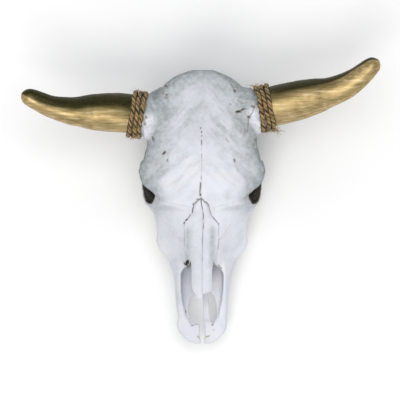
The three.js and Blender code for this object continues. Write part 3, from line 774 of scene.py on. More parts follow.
NASAL_SEAM = [
    ([[-9.2, 0.9], [-6.6, 2.8]], 1.2, 1.0, 0.85), ([[-12.2, -4.2], [-10.5, -2.5]], 1.0, 0.5, 0.35),
    ([[-15.4, -8], [-15.2, -5.2]], 1.2, 1.0, 0.85), ([[-15.9, -12.5], [-16.9, -20.5]], 1.2, 1.1, 0.85),
    ([[-20.5, -25.5], [-24.5, -31]], 1.1, 0.8, 0.65), ([[-25.9, -33.2], [-28, -35]], 1.6, 1.6, 1.0),
    ([[-30.6, -38.5], [-31.6, -40.5]], 1.4, 1.4, 0.95), ([[-31.2, -44], [-31, -50]], 0.9, 0.3, 0.25),
    ([[3.4, -3], [9.6, -3.7]], 1.0, 0.7, 0.55), ([[11, -6], [12.6, -9]], 1.1, 0.9, 0.65),
    ([[13.5, -15], [16, -24]], 0.9, 0.5, 0.35), ([[19.5, -29.5], [26, -37.8]], 1.1, 0.9, 0.6),
    ([[28.4, -40], [29.4, -42]], 1.1, 0.9, 0.65), ([[29.6, -46], [29.2, -64]], 0.8, 0.2, 0.18),
    ([[-55, -52.7], [-46, -64], [-38, -70], [-31.5, -72.4]], 0.9, 0.5, 0.3),
    ([[-30.7, -66], [-31, -79]], 1.1, 0.6, 0.35),
    ([[28.9, -68.5], [29.4, -76], [28.2, -84.3]], 1.2, 0.9, 0.5),
    ([[50, -42], [44, -52], [37, -62], [31.5, -68.5]], 0.9, 0.4, 0.28),
]
SUPRAORBITAL = [
    ([[-68, 81.2], [-64.6, 84.8]], 1.9, 3.4, 0.95), ([[-60.8, 71.2], [-60.6, 68.4]], 1.6, 1.8, 0.75),
    ([[-60.8, 66], [-62.5, 52], [-66, 40]], 3.4, 1.1, 0.06), ([[-72, 77], [-80, 68]], 2.4, 0.7, 0.1),
    ([[56.4, 71.4], [57.4, 68]], 1.6, 2.4, 0.85), ([[58, 66], [61, 59], [65, 51]], 2.0, 1.3, 0.3),
    ([[60.8, 69], [62, 64]], 1.4, 0.9, 0.3), ([[41.5, 108], [47.4, 101.6]], 1.5, 1.3, 0.5),
    ([[-54.4, 97.4], [-53.6, 98.4]], 1.2, 0.9, 0.55), ([[-52, 92], [-44, 100.5]], 1.3, 0.7, 0.22),
    ([[-28, 74], [-24.6, 77.6]], 1.4, 0.6, 0.3), ([[-23, 63], [-21, 64]], 1.4, 0.4, 0.2),
]
HORN_BASE = [
    ([[80.4, 145.8], [82.2, 145]], 1.9, 3.4, 1.0), ([[82.5, 146.5], [88, 153], [90.5, 162]], 0.9, 0.9, 0.6),
    ([[80.6, 143], [79.4, 119]], 1.0, 1.1, 0.65), ([[86.5, 164.5], [91.5, 163.4]], 1.7, 1.4, 0.7),
    ([[60, 154.4], [66.4, 155.6]], 1.9, 1.8, 0.85), ([[68.6, 157.6], [72.4, 159.6]], 1.6, 1.6, 0.8),
    ([[74, 160.4], [81, 159.8]], 1.0, 0.9, 0.45), ([[49.2, 168], [50.4, 167.6]], 1.3, 1.2, 0.6),
    ([[57, 192.4], [58.6, 190.6]], 1.6, 1.6, 0.8), ([[51.4, 204], [57.6, 193]], 0.9, 0.8, 0.5),
    ([[62, 176], [70, 170], [79, 172]], 0.9, 0.8, 0.4), ([[91.2, 98.4], [91.6, 94.4]], 1.3, 1.3, 0.55),
    ([[93.8, 107], [94.2, 105.8]], 1.5, 1.4, 0.6), ([[-86.6, 110.6], [-85.2, 105.4]], 1.5, 1.6, 0.75),
    ([[-63.4, 200.4], [-62.4, 199]], 1.7, 1.5, 0.7), ([[-62.6, 185], [-61.4, 183.6]], 1.5, 1.5, 0.75),
    ([[-65, 180.4], [-59.6, 180]], 1.5, 1.1, 0.5), ([[-98.6, 146.2], [-97, 144.6]], 1.7, 1.5, 0.65),
    ([[-100.6, 134.8], [-99.6, 132.6]], 1.8, 1.6, 0.65), ([[-88, 122], [-82, 131]], 0.9, 0.9, 0.4),
    ([[-71.5, 190], [-58, 172]], 1.1, 0.8, 0.3), ([[-52, 207], [-47, 199]], 1.2, 0.9, 0.35),
]
NOSE = [
    ([[-30.6, -113.8], [-42, -120]], 1.7, 0.8, 0.22), ([[28.2, -113.4], [34.4, -119.4]], 1.2, 1.5, 0.75),
    ([[25.2, -84], [24.6, -99], [27, -110]], 0.9, 0.4, 0.2),
    ([[18.2, -219.6], [18.8, -218.4]], 1.6, 2.0, 0.9),
    ([[-28.6, -193.4], [-28.4, -197]], 1.2, 1.2, 0.85), ([[-7.9, -239.4], [-3.4, -242.4]], 1.3, 1.4, 0.7),
    ([[6.2, -241], [13, -238.6]], 1.3, 1.4, 0.75), ([[-17.4, -220.6], [-16.8, -219]], 1.5, 1.0, 0.7),
    ([[19.4, -228], [20.6, -229]], 1.2, 0.9, 0.45), ([[5.6, -170], [6.6, -212]], 1.3, 1.1, 0.22),
]
# the marks by the horns are made broader, deeper and darker than their table says
BROADER, DEEPER, DARKER = 1.25, 1.5, 1.2
WORN_BASE = [
    (line, half * BROADER, depth * DEEPER, min(1, dark * DARKER)) for line, half, depth, dark in HORN_BASE
]
MARKS = FRONTAL_SEAM + NASAL_SEAM + SUPRAORBITAL + WORN_BASE + NOSE
print("marks:", len(MARKS))

# %% Relief
NECK_FADE = 50
ROOTS = [horn_axis(rows)[0] for rows, _ in HORNS.values()]
UNDERSIDE = 60


def near_horns(points):
    """1 at the horns' roots, falling to 0 on the forehead."""
    away = np.min([np.linalg.norm(points - root, axis=1) for root in ROOTS], axis=0)
    return 1 - step_up(away, 38, 38 + NECK_FADE)


def strokes_of(points, size, seed):
    """Noise drawn out into strokes that rise from each orbit to the middle of
    the poll, and run straight along the nose."""
    out, along = abs(points[:, 0]), points[:, 1]
    slanted = np.stack([(along + out) * 0.7, (along - out) * 0.1, points[:, 2]], axis=1)
    straight = np.stack([points[:, 0], along * 0.14, points[:, 2]], axis=1)
    share = step_up(along, -30, 40)
    return share * rough(slanted, size, 3, seed) + (1 - share) * rough(straight, size, 3, seed + 50)


def relief(points, normals):
    """How far each point stands out or in, in millimetres."""
    upper = step_up(normals[:, 2], -0.1, 0.5) * step_up(points[:, 2], UNDERSIDE - 25, UNDERSIDE)
    rise = 0.6 * rough(points, 46, 3, 5) + 0.14 * rough(points, 9, 3, 21)
    forehead = step_up(points[:, 1], -20, 60)
    rise += (0.12 + 0.26 * forehead) * strokes_of(points, 6.5, 31)
    horned = near_horns(points)
    knobs = rough(points, 8, 3, 40)
    rise += horned * (1.3 * knobs - 1.6 * step_up(knobs, 0.3, 0.95))
    veins = np.abs(rough(points * [1, 0.35, 1], 10, 2, 60))
    rise -= 0.5 * (1 - step_up(veins, 0, 0.12)) * horned
    for line, half, depth, _ in MARKS:
        away = line_distance(points, line) / half
        rise -= upper * depth * np.exp(-away ** 2)
        rise += upper * 0.14 * depth * np.exp(-(away - 2.1) ** 2 * 2)
    return rise


normals = normals_of(bone)
skin = skin + normals * relief(skin, normals)[:, None]
skin[:, 2] = np.maximum(skin[:, 2], 0)
skin[:, 1] = np.maximum(skin[:, 1], CAD_BOX[0][1] / MM + 0.1)
move_points(bone, skin)
print("relief pressed in")

# %% [markdown]
# ## Nasal bones
#
# The two nasal bones are long arched plates that lie side by side on the roof
# of the nose.  Their back halves are set into the face along a wandering
# suture, and their front ends hang free over the open nose.  Each is a
# rounded strip whose edges follow a table, and a slightly larger copy of it
# cuts its bed into the face.


# %% Nasal bones
def rounded_end(away, radius):
    """The height of a quarter circle at a distance from its end: 0 at the end
    and 1 from one radius onwards."""
    return np.sqrt(1 - (1 - np.clip(away / radius, 0, 1)) ** 2)


# y, x of the seam between the two bones
NASAL_MIDDLE = [
    [3, -1.3], [-3, -1.2], [-15, 0.7], [-24, 2.2], [-32, 1.8], [-42, 2.0], [-75, 1.1], [-110, 0.6],
    [-160, 0.3], [-176, 0],
]
NASAL_VALLEY = 2.0


def nasal_rings(side, clearance=0.0, count=230, sides=72):
    """Sections of one nasal bone.  Across the bone, from 0 at the middle to 1
    at the edge, the plate rises by a half sine and falls by a square.  Where it
    is wide the sine leans inwards and a valley runs beside it."""
    rows = [[row[0], row[1 if side > 0 else 2], row[3]] for row in NASALS]
    if side < 0:
        rows.append(NASAL_TIP)
    y, half, top = (c[:, None] for c in smooth_rows(rows, count).T)
    lean = side * smooth_lean(y)
    sutured = step_up(y, -106, -98)
    wander = rough(np.concatenate([y, 0 * y + 7 * side, 0 * y], axis=1), 4.2, 2, 70)[:, None]
    wide = np.clip((half - 18) / 12, 0, 1) * (1 - step_up(y, -50, -25))
    ends = np.minimum(rounded_end(y[0] - y + 0.4, 3), rounded_end(y - y[-1] + 0.4, 5))
    half = half * (0.35 + 0.65 * ends) if clearance == 0 else half + clearance
    inner = lean + (SUTURE_GAP / 2 if clearance == 0 else -1)
    c = np.sin(np.linspace(-1.54, 1.54, sides // 2))
    c = np.r_[c, c[::-1]]
    s = (1 - abs(c) ** 14) ** (1 / 14) * np.repeat([1, -1], sides // 2)
    part = (1 + c) / 2
    crown = np.minimum(1, half / 18)
    rise = NASAL_CROWN * crown * np.sin(np.pi * part ** (1 - 0.45 * wide)) - NASAL_DROP * part ** 2
    rise = rise - NASAL_VALLEY * wide * np.exp(-((part - 0.66) / 0.17) ** 2)
    free = 1 - step_up(y, -125, -100)
    thick = NASAL_THICKNESS * (1 + 0.25 * free) + clearance * 6
    middle = top + rise * 0.9 - thick / 2 + clearance * 3 + (s > 0) * clearance * 30
    x = inner + (half - inner) * part + 0.8 * sutured * wander * part ** 6
    z = middle + s * thick / 2 * (ends if clearance == 0 else 1)
    return np.stack([side * x, y + 0 * x, z], axis=2)


def smooth_lean(y):
    """Where the seam between the nasal bones lies, by straight stretches and a
    small wander along it."""
    middle = np.asarray(NASAL_MIDDLE, float)[::-1]
    flat = y.ravel()
    wander = rough(np.stack([flat, 0 * flat, 0 * flat], axis=1), 6, 2, 12)
    return (np.interp(flat, middle[:, 0], middle[:, 1]) + 0.35 * wander).reshape(y.shape)


def nasal_bone(side):
    """A nasal bone with the same fine relief as the rest of the skull."""
    points, faces = shell(nasal_rings(side))
    mesh = put_mesh("nasal", points, faces)
    normals = normals_of(mesh)
    fine = 0.3 * rough(points, 22, 3, 15) + 0.12 * strokes_of(points, 4, 33)
    move_points(mesh, points + normals * fine[:, None])
    return mesh


# A hole through the roof beside the right nasal bone, in plan.
LEAF_HOLE = [
    [-23.4, -104.2], [-22.2, -108], [-23.4, -111.6], [-26.2, -114], [-29.2, -112.4], [-29, -108],
    [-26.6, -104.4],
]
LEAF_MIDDLE = np.mean(LEAF_HOLE, axis=0)
LEAF_REACH = (70, 130)
for _, side in SIDES:
    bone = boolean(bone, put_mesh("bed", *shell(nasal_rings(side, SUTURE_GAP))))
bone = boolean(bone, block(LEAF_HOLE, *LEAF_REACH))
bones = {f"nasal_{word}": nasal_bone(side) for word, side in SIDES}
print("nasal bones:", {name: len(mesh.vertices) for name, mesh in bones.items()})

# %% [markdown]
# ## Parting the bones
#
# The skull is one skin so far.  Straight blocks with jagged outlines now part
# it along its sutures: the block takes a bone out, and the same block drawn in
# by a hair leaves a crack between the bone and the rest.

# %% Suture outlines
LACRIMAL_PLAN = [
    [22, -12], [50, -5], [78, 2], [110, 2], [104, -16],
    [80, -31], [63, -40], [51, -48], [45.5, -57], [36.8, -66], [22, -72],
]
LACRIMAL_LOW, LACRIMAL_HIGH = 95, 160
MALAR_SIDE = [
    [-47, 62], [-47, 80], [-24, 92], [-10, 96], [30, 96], [50, 105], [74, 106],
    [84, 98], [94, 99], [98, 88], [70, 74], [40, 62], [10, 58], [-20, 56],
]
MALAR_PLAN = [
    [66, -47], [72, -20], [82, 0], [90, 22], [93, 48], [93, 98], [120, 98], [120, -47],
]
PREMAXILLA_SIDE = [[-110, 116], [-110, 101], [-168, 30], [-168, 20], [-270, 20], [-270, 116]]
MAXILLA_SIDE = [
    [46, -5], [46, 56], [24, 76], [-8, 88], [-36, 98], [-36, 170], [-170, 170], [-170, -5],
]
MALAR_HEIGHT, MALAR_WIDTH = (40, 120), (60, 125)
HALF_SKULL = 110  # past the widest place of one side
JAG_STEP, JAG_DEPTH = 3.2, 0.8


def jagged(outline, seed):
    """A closed outline with a wandering edge."""
    return zigzag(np.vstack([outline, outline[:1]]), JAG_STEP, JAG_DEPTH, seed)[:-1]


def inset(outline, distance):
    """An outline drawn in by a distance, each corner along its two normals."""
    flat = np.asarray(outline, float)
    ahead = np.roll(flat, -1, axis=0) - flat
    turn = np.sign(np.sum(flat[:, 0] * np.roll(flat[:, 1], -1) - flat[:, 1] * np.roll(flat[:, 0], -1)))
    out = turn * np.stack([-ahead[:, 1], ahead[:, 0]], axis=1) / np.linalg.norm(ahead, axis=1)[:, None]
    both = out + np.roll(out, 1, axis=0)
    return flat + both * distance / (1 + np.sum(out * np.roll(out, 1, axis=0), axis=1))[:, None]


OUTLINES = {
    "lacrimal": jagged(LACRIMAL_PLAN, 1), "malar": jagged(MALAR_SIDE, 2),
    "premaxilla": jagged(PREMAXILLA_SIDE, 4), "maxilla": jagged(MAXILLA_SIDE, 5),
}


def suture_block(name, side, gap):
    """The block that takes one bone out, drawn in by a gap."""
    drawn = inset(OUTLINES[name], gap)
    if name == "lacrimal":
        return block(drawn, LACRIMAL_LOW + gap, LACRIMAL_HIGH - gap, "z", side)
    if name == "malar":
        plan = block(inset(MALAR_PLAN, gap), *MALAR_HEIGHT, "z", side)
        return boolean(block(drawn, *MALAR_WIDTH, "x", side), plan, "INTERSECT")
    return block(drawn, gap / 2, HALF_SKULL, "x", side)


# %% Parting the bones
# each bone and the outline that parts it
PARTED = [
    ("lacrimal", "lacrimal"), ("cheekbone", "malar"),
    ("premaxilla", "premaxilla"), ("maxilla", "maxilla"),
]
for word, side in SIDES:
    for name, outline in PARTED:
        bones[f"{name}_{word}"] = boolean(bone, suture_block(outline, side, SUTURE_GAP), "INTERSECT")
        bone = boolean(bone, suture_block(outline, side, 0))
bones["cranium"] = bone
print("bones:", {name: len(mesh.polygons) for name, mesh in bones.items()})

# %% [markdown]
# ## Cheek teeth
#
# A cow has six cheek teeth on each side of the upper jaw and no upper front
# teeth.  Each is a tall column with ribs down its cheek side.  The bite is worn
# to the slope of the row, and harder enamel stands up in crescents round the
# softer dentine.


# %% Cheek teeth
def bite_at(y):
    """Height of the bite along the row: level at the back, rising forwards."""
    return np.maximum(0, (BITE_START - y) * BITE_SLOPE)


def tooth_rings(x, y, length, width, side, sides=72):
    """Rings down the wall of a tooth and then in over its bite.  Three ribs on
    the cheek side follow the cosine of three times the place along it, and
    the bite sinks between its rim and two crescents."""
    c, s = unit_ring(sides, 3.4)
    ribs = 1 + 0.05 * np.cos(3 * np.pi * s) * (c > 0) + 0.03 * np.cos(2 * np.pi * s) * (c < 0)
    wall = np.linspace(0, 1, 14)[:, None]
    cap = np.linspace(1, 0.04, 18)[:, None]
    neck = 0.16 * (1 - step_up(wall, 0, 0.3))
    grow = np.vstack([0.97 + 0.05 * np.sin(np.pi * wall) - 0.04 * wall - neck, 0.93 * cap])
    across, along = grow * c * ribs * width / 2, grow * s * length / 2
    lobes = np.abs(np.sin(np.pi * along / length * 2))
    crescent = np.exp(-((np.abs(across) / width * 2 - 0.2 - 0.35 * lobes) / 0.11) ** 2)
    rim = step_up(grow, 0.72, 0.86)
    sink = 1.9 * (1 - np.maximum(rim, crescent * 0.9))
    foot = bite_at(y + along)
    down = np.vstack([GUM_HEIGHT + (foot[:14] - GUM_HEIGHT) * wall, foot[14:] + sink[14:]])
    ring = np.stack([x + across, y + along, down], axis=2)
    return ring * [side, 1, 1]


def with_teeth(mesh, side):
    """An upper jaw bone with its teeth set into it."""
    for x, y, length, width in TEETH:
        tooth = put_mesh("tooth", *shell(tooth_rings(x, y, length, width, side)))
        mesh = boolean(mesh, tooth, "UNION")
    return mesh


for word, side in SIDES:
    bones[f"maxilla_{word}"] = with_teeth(bones[f"maxilla_{word}"], side)
print("upper jaw:", len(bones["maxilla_left"].polygons), "faces with teeth")

# %% [markdown]
# ## Horns
#
# A horn is a hollow sheath of keratin that grows from its root, so it carries
# faint rings, strongest near the root, and fine grooves along its length.  The
# table gives its path and radius, and the tip is rounded off.


# %% Horns
def horn_mesh(rows, seed, dark):
    """A horn as rings along its path.  To the radius of the table it adds growth
    rings that fade towards the tip, and noise drawn out along the horn.  The
    side away from the nose is darkened as painted shade, where the outward y
    passes the values of `dark`."""
    count, sides = 520, 120
    table = smooth_rows(rows, count, 3)
    centre, radius = table[:, :3], table[:, 3]
    at = np.r_[0, np.cumsum(np.linalg.norm(np.diff(centre, axis=0), axis=1))]
    radius = radius * rounded_end(at[-1] - at + 0.02, 8)
    _, wide, rise = frames_along(centre, np.broadcast_to((0.0, 0.0, 1.0), centre.shape))
    c, s = unit_ring(sides)
    grid = rings_round(centre, wide, rise, radius[:, None] * c, radius[:, None] * s)
    turn = np.arctan2(s, c)[None, :] + 0 * radius[:, None]
    drawn = np.stack([at[:, None] / 5 + 0 * turn, 30 * np.cos(turn), 30 * np.sin(turn)], axis=2)
    flat = drawn.reshape(-1, 3)
    grooves = rough(flat, 7, 3, seed).reshape(turn.shape)
    swell = rough(grid.reshape(-1, 3), 24, 2, seed + 9).reshape(turn.shape)
    rings = np.sin(at * 2 * np.pi / 15 + 1.6 * np.sin(at / 11))[:, None] * (1 - step_up(at, 50, 170))[:, None]
    out = grid - centre[:, None]
    out /= np.maximum(np.linalg.norm(out, axis=2, keepdims=True), 1e-6)
    fade = np.minimum(1, radius / 12)[:, None]
    height = fade * (0.22 * grooves + 0.45 * swell + 0.05 * rings) - 0.3
    mesh = put_mesh("horn", *shell(grid + out * height[..., None]))
    # Painted shade on the side of the horn away from the nose.
    painted_shade_side = step_up(out[..., 1] + 0.3 * rough(flat, 12, 3, seed + 3).reshape(turn.shape), *dark)
    set_attribute(mesh, "painted_shade_and_wear", np.r_[painted_shade_side.ravel(), painted_shade_side[0, 0], painted_shade_side[-1, 0]])
    return mesh


# Where the painted shade on each horn begins and where it is full, in outward y.
PAINTED_SHADE_FROM = {"left": (0.0, 0.65), "right": (-0.5, 0.3)}
horns = {word: horn_mesh(HORNS[word][0], 80 + side, PAINTED_SHADE_FROM[word]) for word, side in SIDES}
print("horns:", {word: len(mesh.polygons) for word, mesh in horns.items()})

# %% [markdown]
# ## Rope
#
# The binding is jute rope of three strands.  The rope's own path is a helix of
# three turns round the root of the horn, and each strand is a second, tighter
# helix round that path, which goes round once in each lay.  Every strand shows
# the yarns it is spun from.

# %% Rope
LAY, STRANDS, STRAND_RADIUS, STRAND_OFFSET = 25, 3, 2.15, 2.1
YARNS = 5
ROPE_WOUND = ROPE_TURNS + 0.06  # turns, with the lap of the two ends
SOFT_TOP = 2  # depth over which the highest strands are pressed flatter


def about_horn(word):
    """The root of a horn and three unit vectors: along it, and two across."""
    root, axis = horn_axis(HORNS[word][0])
    up = np.cross(axis, [0.0, 1.0, 0.0])
    up /= np.linalg.norm(up)
    up = up * np.sign(up[2])
    return root, axis, up, np.cross(axis, up)


def rope_path(word, count):
    """The middle of the rope: turns round the horn at a steady pitch, with a
    wobble.  Both ends tuck in."""
    root, axis, up, across = about_horn(word)
    turn = np.linspace(0, 2 * np.pi * ROPE_WOUND, count)
    tuck = 1 - 0.05 * (1 - np.minimum(rounded_end(turn, 0.5), rounded_end(turn[-1] - turn, 0.5)))
    wobble = 0.7 * np.sin(turn * 2.3) + 0.45 * np.sin(turn * 5.1 + 1)
    along = (turn / (2 * np.pi) - ROPE_TURNS / 2) * ROPE_PITCH + wobble
    ring = -np.cos(turn)[:, None] * up + np.sin(turn)[:, None] * across
    return root + along[:, None] * axis + ROPE_MIDDLE * tuck[:, None] * ring, turn


def rope_strands(word, sides=16):
    """Strands along the rope's path, and the painted shade at each point, most in
    towards the rope's middle and beside the next turn.
    Each strand runs round the path once a lay, and its own radius ripples where
    its yarns lie."""
    root, axis, _, _ = about_horn(word)
    length = 2 * np.pi * ROPE_MIDDLE * ROPE_WOUND
    centre, turn = rope_path(word, int(length / 1.4))
    out = centre - root
    out = out - (out @ axis)[:, None] * axis
    _, wide, rise = frames_along(centre, out)
    s = turn / turn[-1] * length
    strands, crevice_shades = [], []
    for n in range(STRANDS):
        phase = 2 * np.pi * (n / STRANDS - s / LAY) + 0.3 * np.sin(s / 29 + 2 * n)
        spread = STRAND_OFFSET * (1 + 0.1 * np.sin(s / 17 + n * 2))
        middle = centre + spread[:, None] * (np.cos(phase)[:, None] * wide + np.sin(phase)[:, None] * rise)
        _, w, r = frames_along(middle, wide)
        around = 2 * np.pi * np.arange(sides) / sides
        yarn = np.cos(YARNS * around[None, :] + (2 * np.pi * s / 14)[:, None])
        radius = STRAND_RADIUS * (1 + 0.1 * yarn) * (1 + 0.08 * np.sin(s / 5.3 + n))[:, None]
        grid = rings_round(middle, w, r, radius * np.cos(around), radius * np.sin(around))
        # Painted shade: dark in towards the rope's middle and beside the next turn.
        crevice_shade = 1 - step_up(np.linalg.norm(grid - centre[:, None], axis=2), 2.9, 4.25)
        sideways = np.abs(np.sum((grid - centre[:, None]) * axis, axis=2))
        crevice_shade = np.maximum(crevice_shade, step_up(sideways, 2.4, 3.8))
        strands.append(shell(grid))
        crevice_shades.append(np.r_[crevice_shade.ravel(), 1, 1])
    return strands, crevice_shades


# Tufts of loose fibre: degrees from the top towards the nose, distance along
# the horn from the middle of the rope, how many fibres, their length
FRAYS = {
    "left": [(-78, -9, 14, 9), (-70, 0, 8, 6), (84, 11, 22, 12), (70, 13, 10, 10), (20, -12, 6, 7)],
    "right": [(-20, -13, 14, 9), (15, -13, 12, 9), (5, 13, 10, 8), (-80, 4, 8, 6), (82, 5, 8, 7)],
}
FIBRE_RADIUS, STRAY_FIBRES = 0.34, 130


def fibres(word, seed):
    """Loose jute fibres.  Each is a thin tapered tube that leaves the rope's
    surface, t long, and curls away by the square of t."""
    root, axis, up, across = about_horn(word)
    nose = across * -np.sign(across[1])
    luck = np.random.default_rng(seed)
    stray = [(luck.uniform(-180, 180), luck.uniform(-12, 12), 1, 5) for _ in range(STRAY_FIBRES)]
    tubes = []
    for degrees, along, count, length in FRAYS[word] + stray:
        for _ in range(count):
            angle = math.radians(degrees + luck.normal(0, 7 if count > 1 else 0))
            outward = math.cos(angle) * up + math.sin(angle) * nose
            way = luck.uniform(0.25, 0.9) * outward + luck.normal(0, 0.55) * axis
            way = way + luck.normal(0, 0.6) * np.cross(axis, outward)
            t = np.linspace(0, 1, 8)[:, None]
            reach = length * luck.uniform(0.6, 1.2)
            start = root + (along + luck.normal(0, 1.2)) * axis + (ROPE_MIDDLE + 3.0) * outward
            path = start + reach * (t * way + t * t * luck.normal(0, 0.35, 3))
            _, wide, rise = frames_along(path, np.broadcast_to(outward, path.shape))
            c, s = unit_ring(4)
            radius = FIBRE_RADIUS * (1 - 0.7 * t)
            tubes.append(shell(rings_round(path, wide, rise, radius * c, radius * s)))
    return tubes


def rope_mesh(word, seed):
    """The strands and loose fibres of one binding, no higher than the CAD."""
    strands, crevice_shades = rope_strands(word)
    loose = fibres(word, seed)
    points, faces = gather(strands + loose)
    top = CAD_BOX[1][2] / MM - 0.2
    bend = top - SOFT_TOP
    high = points[:, 2] > bend
    points[high, 2] = top - SOFT_TOP * np.exp((bend - points[high, 2]) / SOFT_TOP)
    mesh = put_mesh("rope", points, faces)
    set_attribute(mesh, "crevice_shade", np.r_[np.concatenate(crevice_shades), np.zeros(sum(len(p) for p, _ in loose))])
    return mesh


ropes = {word: rope_mesh(word, 300 + side) for word, side in SIDES}
print("ropes:", {word: len(mesh.polygons) for word, mesh in ropes.items()})

# %% [markdown]
# ## Material helpers
#
# One function adds a node with its settings and links, and one turns a hex
# colour into the linear values that Blender works with.


# %% Material helpers
def linear(code, alpha=1.0):
    """An sRGB hex colour as linear red, green, blue and alpha."""
    parts = [int(code[i:i + 2], 16) / 255 for i in (1, 3, 5)]
    return [p / 12.92 if p <= 0.04045 else ((p + 0.055) / 1.055) ** 2.4 for p in parts] + [alpha]


def add(tree, kind, links=None, **settings):
    """A node of a kind.  Links join sockets of other nodes to its inputs, and
    a setting that names an input sets its value, or else a property."""
    node = tree.nodes.new(f"ShaderNode{kind}")
    for key, value in settings.items():
        if key in node.inputs:
            node.inputs[key].default_value = value
        else:
            setattr(node, key, value)
    for key, socket in (links or {}).items():
        tree.links.new(socket, node.inputs[key])
    return node


def ramp(tree, factor, stops, smooth=True):
    """A colour ramp over a factor, with stops of place and hex colour."""
    node = add(tree, "ValToRGB", {"Fac": factor})
    node.color_ramp.interpolation = "EASE" if smooth else "LINEAR"
    while len(node.color_ramp.elements) < len(stops):
        node.color_ramp.elements.new(0.5)
    for element, (place, code) in zip(node.color_ramp.elements, stops):
        element.position, element.color = place, linear(code)
    return node.outputs["Color"]


def new_material(name):
    """An empty material with its tree and output."""
    material = bpy.data.materials.new(name)
    material.use_nodes = True
    tree = material.node_tree
    tree.nodes.clear()
    return material, tree, add(tree, "OutputMaterial")


def place_of(tree, stretch=(1, 1, 1)):
    """The object's own coordinates in metres, stretched along its axes."""
    coords = add(tree, "TexCoord")
    return add(tree, "Mapping", {"Vector": coords.outputs["Object"]}, Scale=stretch).outputs["Vector"]


def noise_node(tree, vector, size, detail=4.0, roughness=0.55, distortion=0.0):
    """Noise whose largest spots are about `size` millimetres across."""
    return add(
        tree, "TexNoise", {"Vector": vector}, Scale=1 / (size * MM),
        Detail=detail, Roughness=roughness, Distortion=distortion,
    ).outputs["Fac"]


print("material helpers ready")

# %% [markdown]
# ## Bleached bone
#
# Bone that has lain in the sun for years is chalky and almost white.  It has no
# gloss left, and close up it is full of fine pores drawn out along the skull.
# Dirt and a brown stain stay in its cracks and pits, which an attribute marks.
# The same attribute also paints shade into the orbits and the hole beside the
# nose, and a second one paints shade on the flanks, the poll and the underside.

# %% Bleached bone
def scaled(tree, value, factor, offset=0.0):
    """A value times a factor plus an offset, held between 0 and 1."""
    return add(
        tree, "MapRange", {"Value": value}, **{"From Max": 1.0, "To Min": offset, "To Max": factor + offset},
    ).outputs["Result"]


def mix_colour(tree, factor, first, second):
    """One colour faded into another by a factor."""
    node = add(tree, "Mix", data_type="RGBA")
    for place, socket in ((0, factor), (6, first), (7, second)):
        tree.links.new(socket, node.inputs[place])
    return node.outputs[2]


def bumps(tree, layers, distance):
    """Bump nodes in a row, one for each height and strength."""
    normal = None
    for height, strength in layers:
        node = add(tree, "Bump", {"Height": height}, Strength=strength, Distance=distance * MM)
        if normal is not None:
            tree.links.new(normal, node.inputs["Normal"])
        normal = node.outputs["Normal"]
    return normal


def stroke_place(tree):
    """Coordinates drawn out along the strokes that cross the forehead from
    each orbit up to the poll: x counts from the middle, then a turn by 45
    degrees and a long stretch."""
    split = add(tree, "SeparateXYZ", {0: add(tree, "TexCoord").outputs["Object"]})
    side = add(tree, "Math", {0: split.outputs[0]}, operation="ABSOLUTE")
    joined = add(tree, "CombineXYZ", {0: side.outputs[0], 1: split.outputs[1], 2: split.outputs[2]})
    turned = add(tree, "Mapping", {"Vector": joined.outputs[0]}, Rotation=(0, 0, math.radians(45)))
    return add(tree, "Mapping", {"Vector": turned.outputs[0]}, Scale=(0.14, 1, 1)).outputs["Vector"]


def bleached_bone():
    """Sun-bleached cattle bone: rough and chalky, white, and grey on its flanks
    and poll as painted shade, and brushed along its grain.  IOR 1.55 is that of
    bone mineral."""
    material, tree, output = new_material("bleached_bone")
    place = place_of(tree)
    mottle = noise_node(tree, place, 7, 5, 0.6)
    strokes = noise_node(tree, stroke_place(tree), 11, 5, 0.68, 0.5)
    pores = noise_node(tree, place_of(tree, (1, 0.3, 1)), 2.4, 4, 0.65)
    # Painted shade: the bleached attribute fades the white into the grey ramp on the flanks, the poll and the
    # underside.
    bleached = add(tree, "Attribute", attribute_name="bleached").outputs["Fac"]
    white = ramp(tree, noise_node(tree, place, 50, 3), [(0.3, "#d3d5dd"), (0.5, "#dddfe7"), (0.7, "#e3e3e8")])
    grey = ramp(tree, mottle, [(0.3, "#727a79"), (0.7, "#9aa2a3")])
    base = mix_colour(tree, bleached, grey, white)
    brushed = add(
        tree, "MapRange", {"Value": strokes},
        **{"From Min": 0.4, "From Max": 0.58, "To Min": 0.8, "To Max": 0.0},
    )
    bands = add(
        tree, "MapRange", {"Value": noise_node(tree, place, 38, 3)}, **{"From Min": 0.36, "From Max": 0.6},
    )
    along = add(tree, "SeparateXYZ", {0: add(tree, "TexCoord").outputs["Object"]}).outputs[1]
    forehead = add(tree, "MapRange", {"Value": along}, **{"From Min": 0.02, "From Max": 0.12, "To Min": 0.15})
    bands = add(tree, "Math", {0: bands.outputs[0], 1: forehead.outputs[0]}, operation="MULTIPLY")
    brushed = add(tree, "Math", {0: brushed.outputs[0], 1: bands.outputs[0]}, operation="MULTIPLY")
    trough = ramp(tree, mottle, [(0.3, "#9aa1a2"), (0.7, "#b6bcbf")])
    base = mix_colour(tree, brushed.outputs[0], base, trough)
    # The stain attribute, mixed in with the dirt ramp, holds dirt and also painted shade in the orbits and
    # the hole beside the nose.
    stain = add(tree, "Attribute", attribute_name="stain").outputs["Fac"]
    patchy = add(
        tree, "Math", {0: stain, 1: scaled(tree, pores, 0.8, 0.68)}, operation="MULTIPLY", use_clamp=True,
    )
    dirt = ramp(tree, patchy.outputs[0], [(0.0, "#c9c6c0"), (0.5, "#857d72"), (1.0, "#2f2a22")])
    shader = add(
        tree, "BsdfPrincipled",
        {"Base Color": mix_colour(tree, patchy.outputs[0], base, dirt),
         "Roughness": scaled(tree, mottle, 0.2, 0.6),
         "Normal": bumps(tree, [(strokes, 0.7), (pores, 0.3), (mottle, 0.3)], 1.3)},
        IOR=1.55,
    )
    shader.inputs["Specular IOR Level"].default_value = 0.35
    tree.links.new(shader.outputs[0], output.inputs[0])
    return material


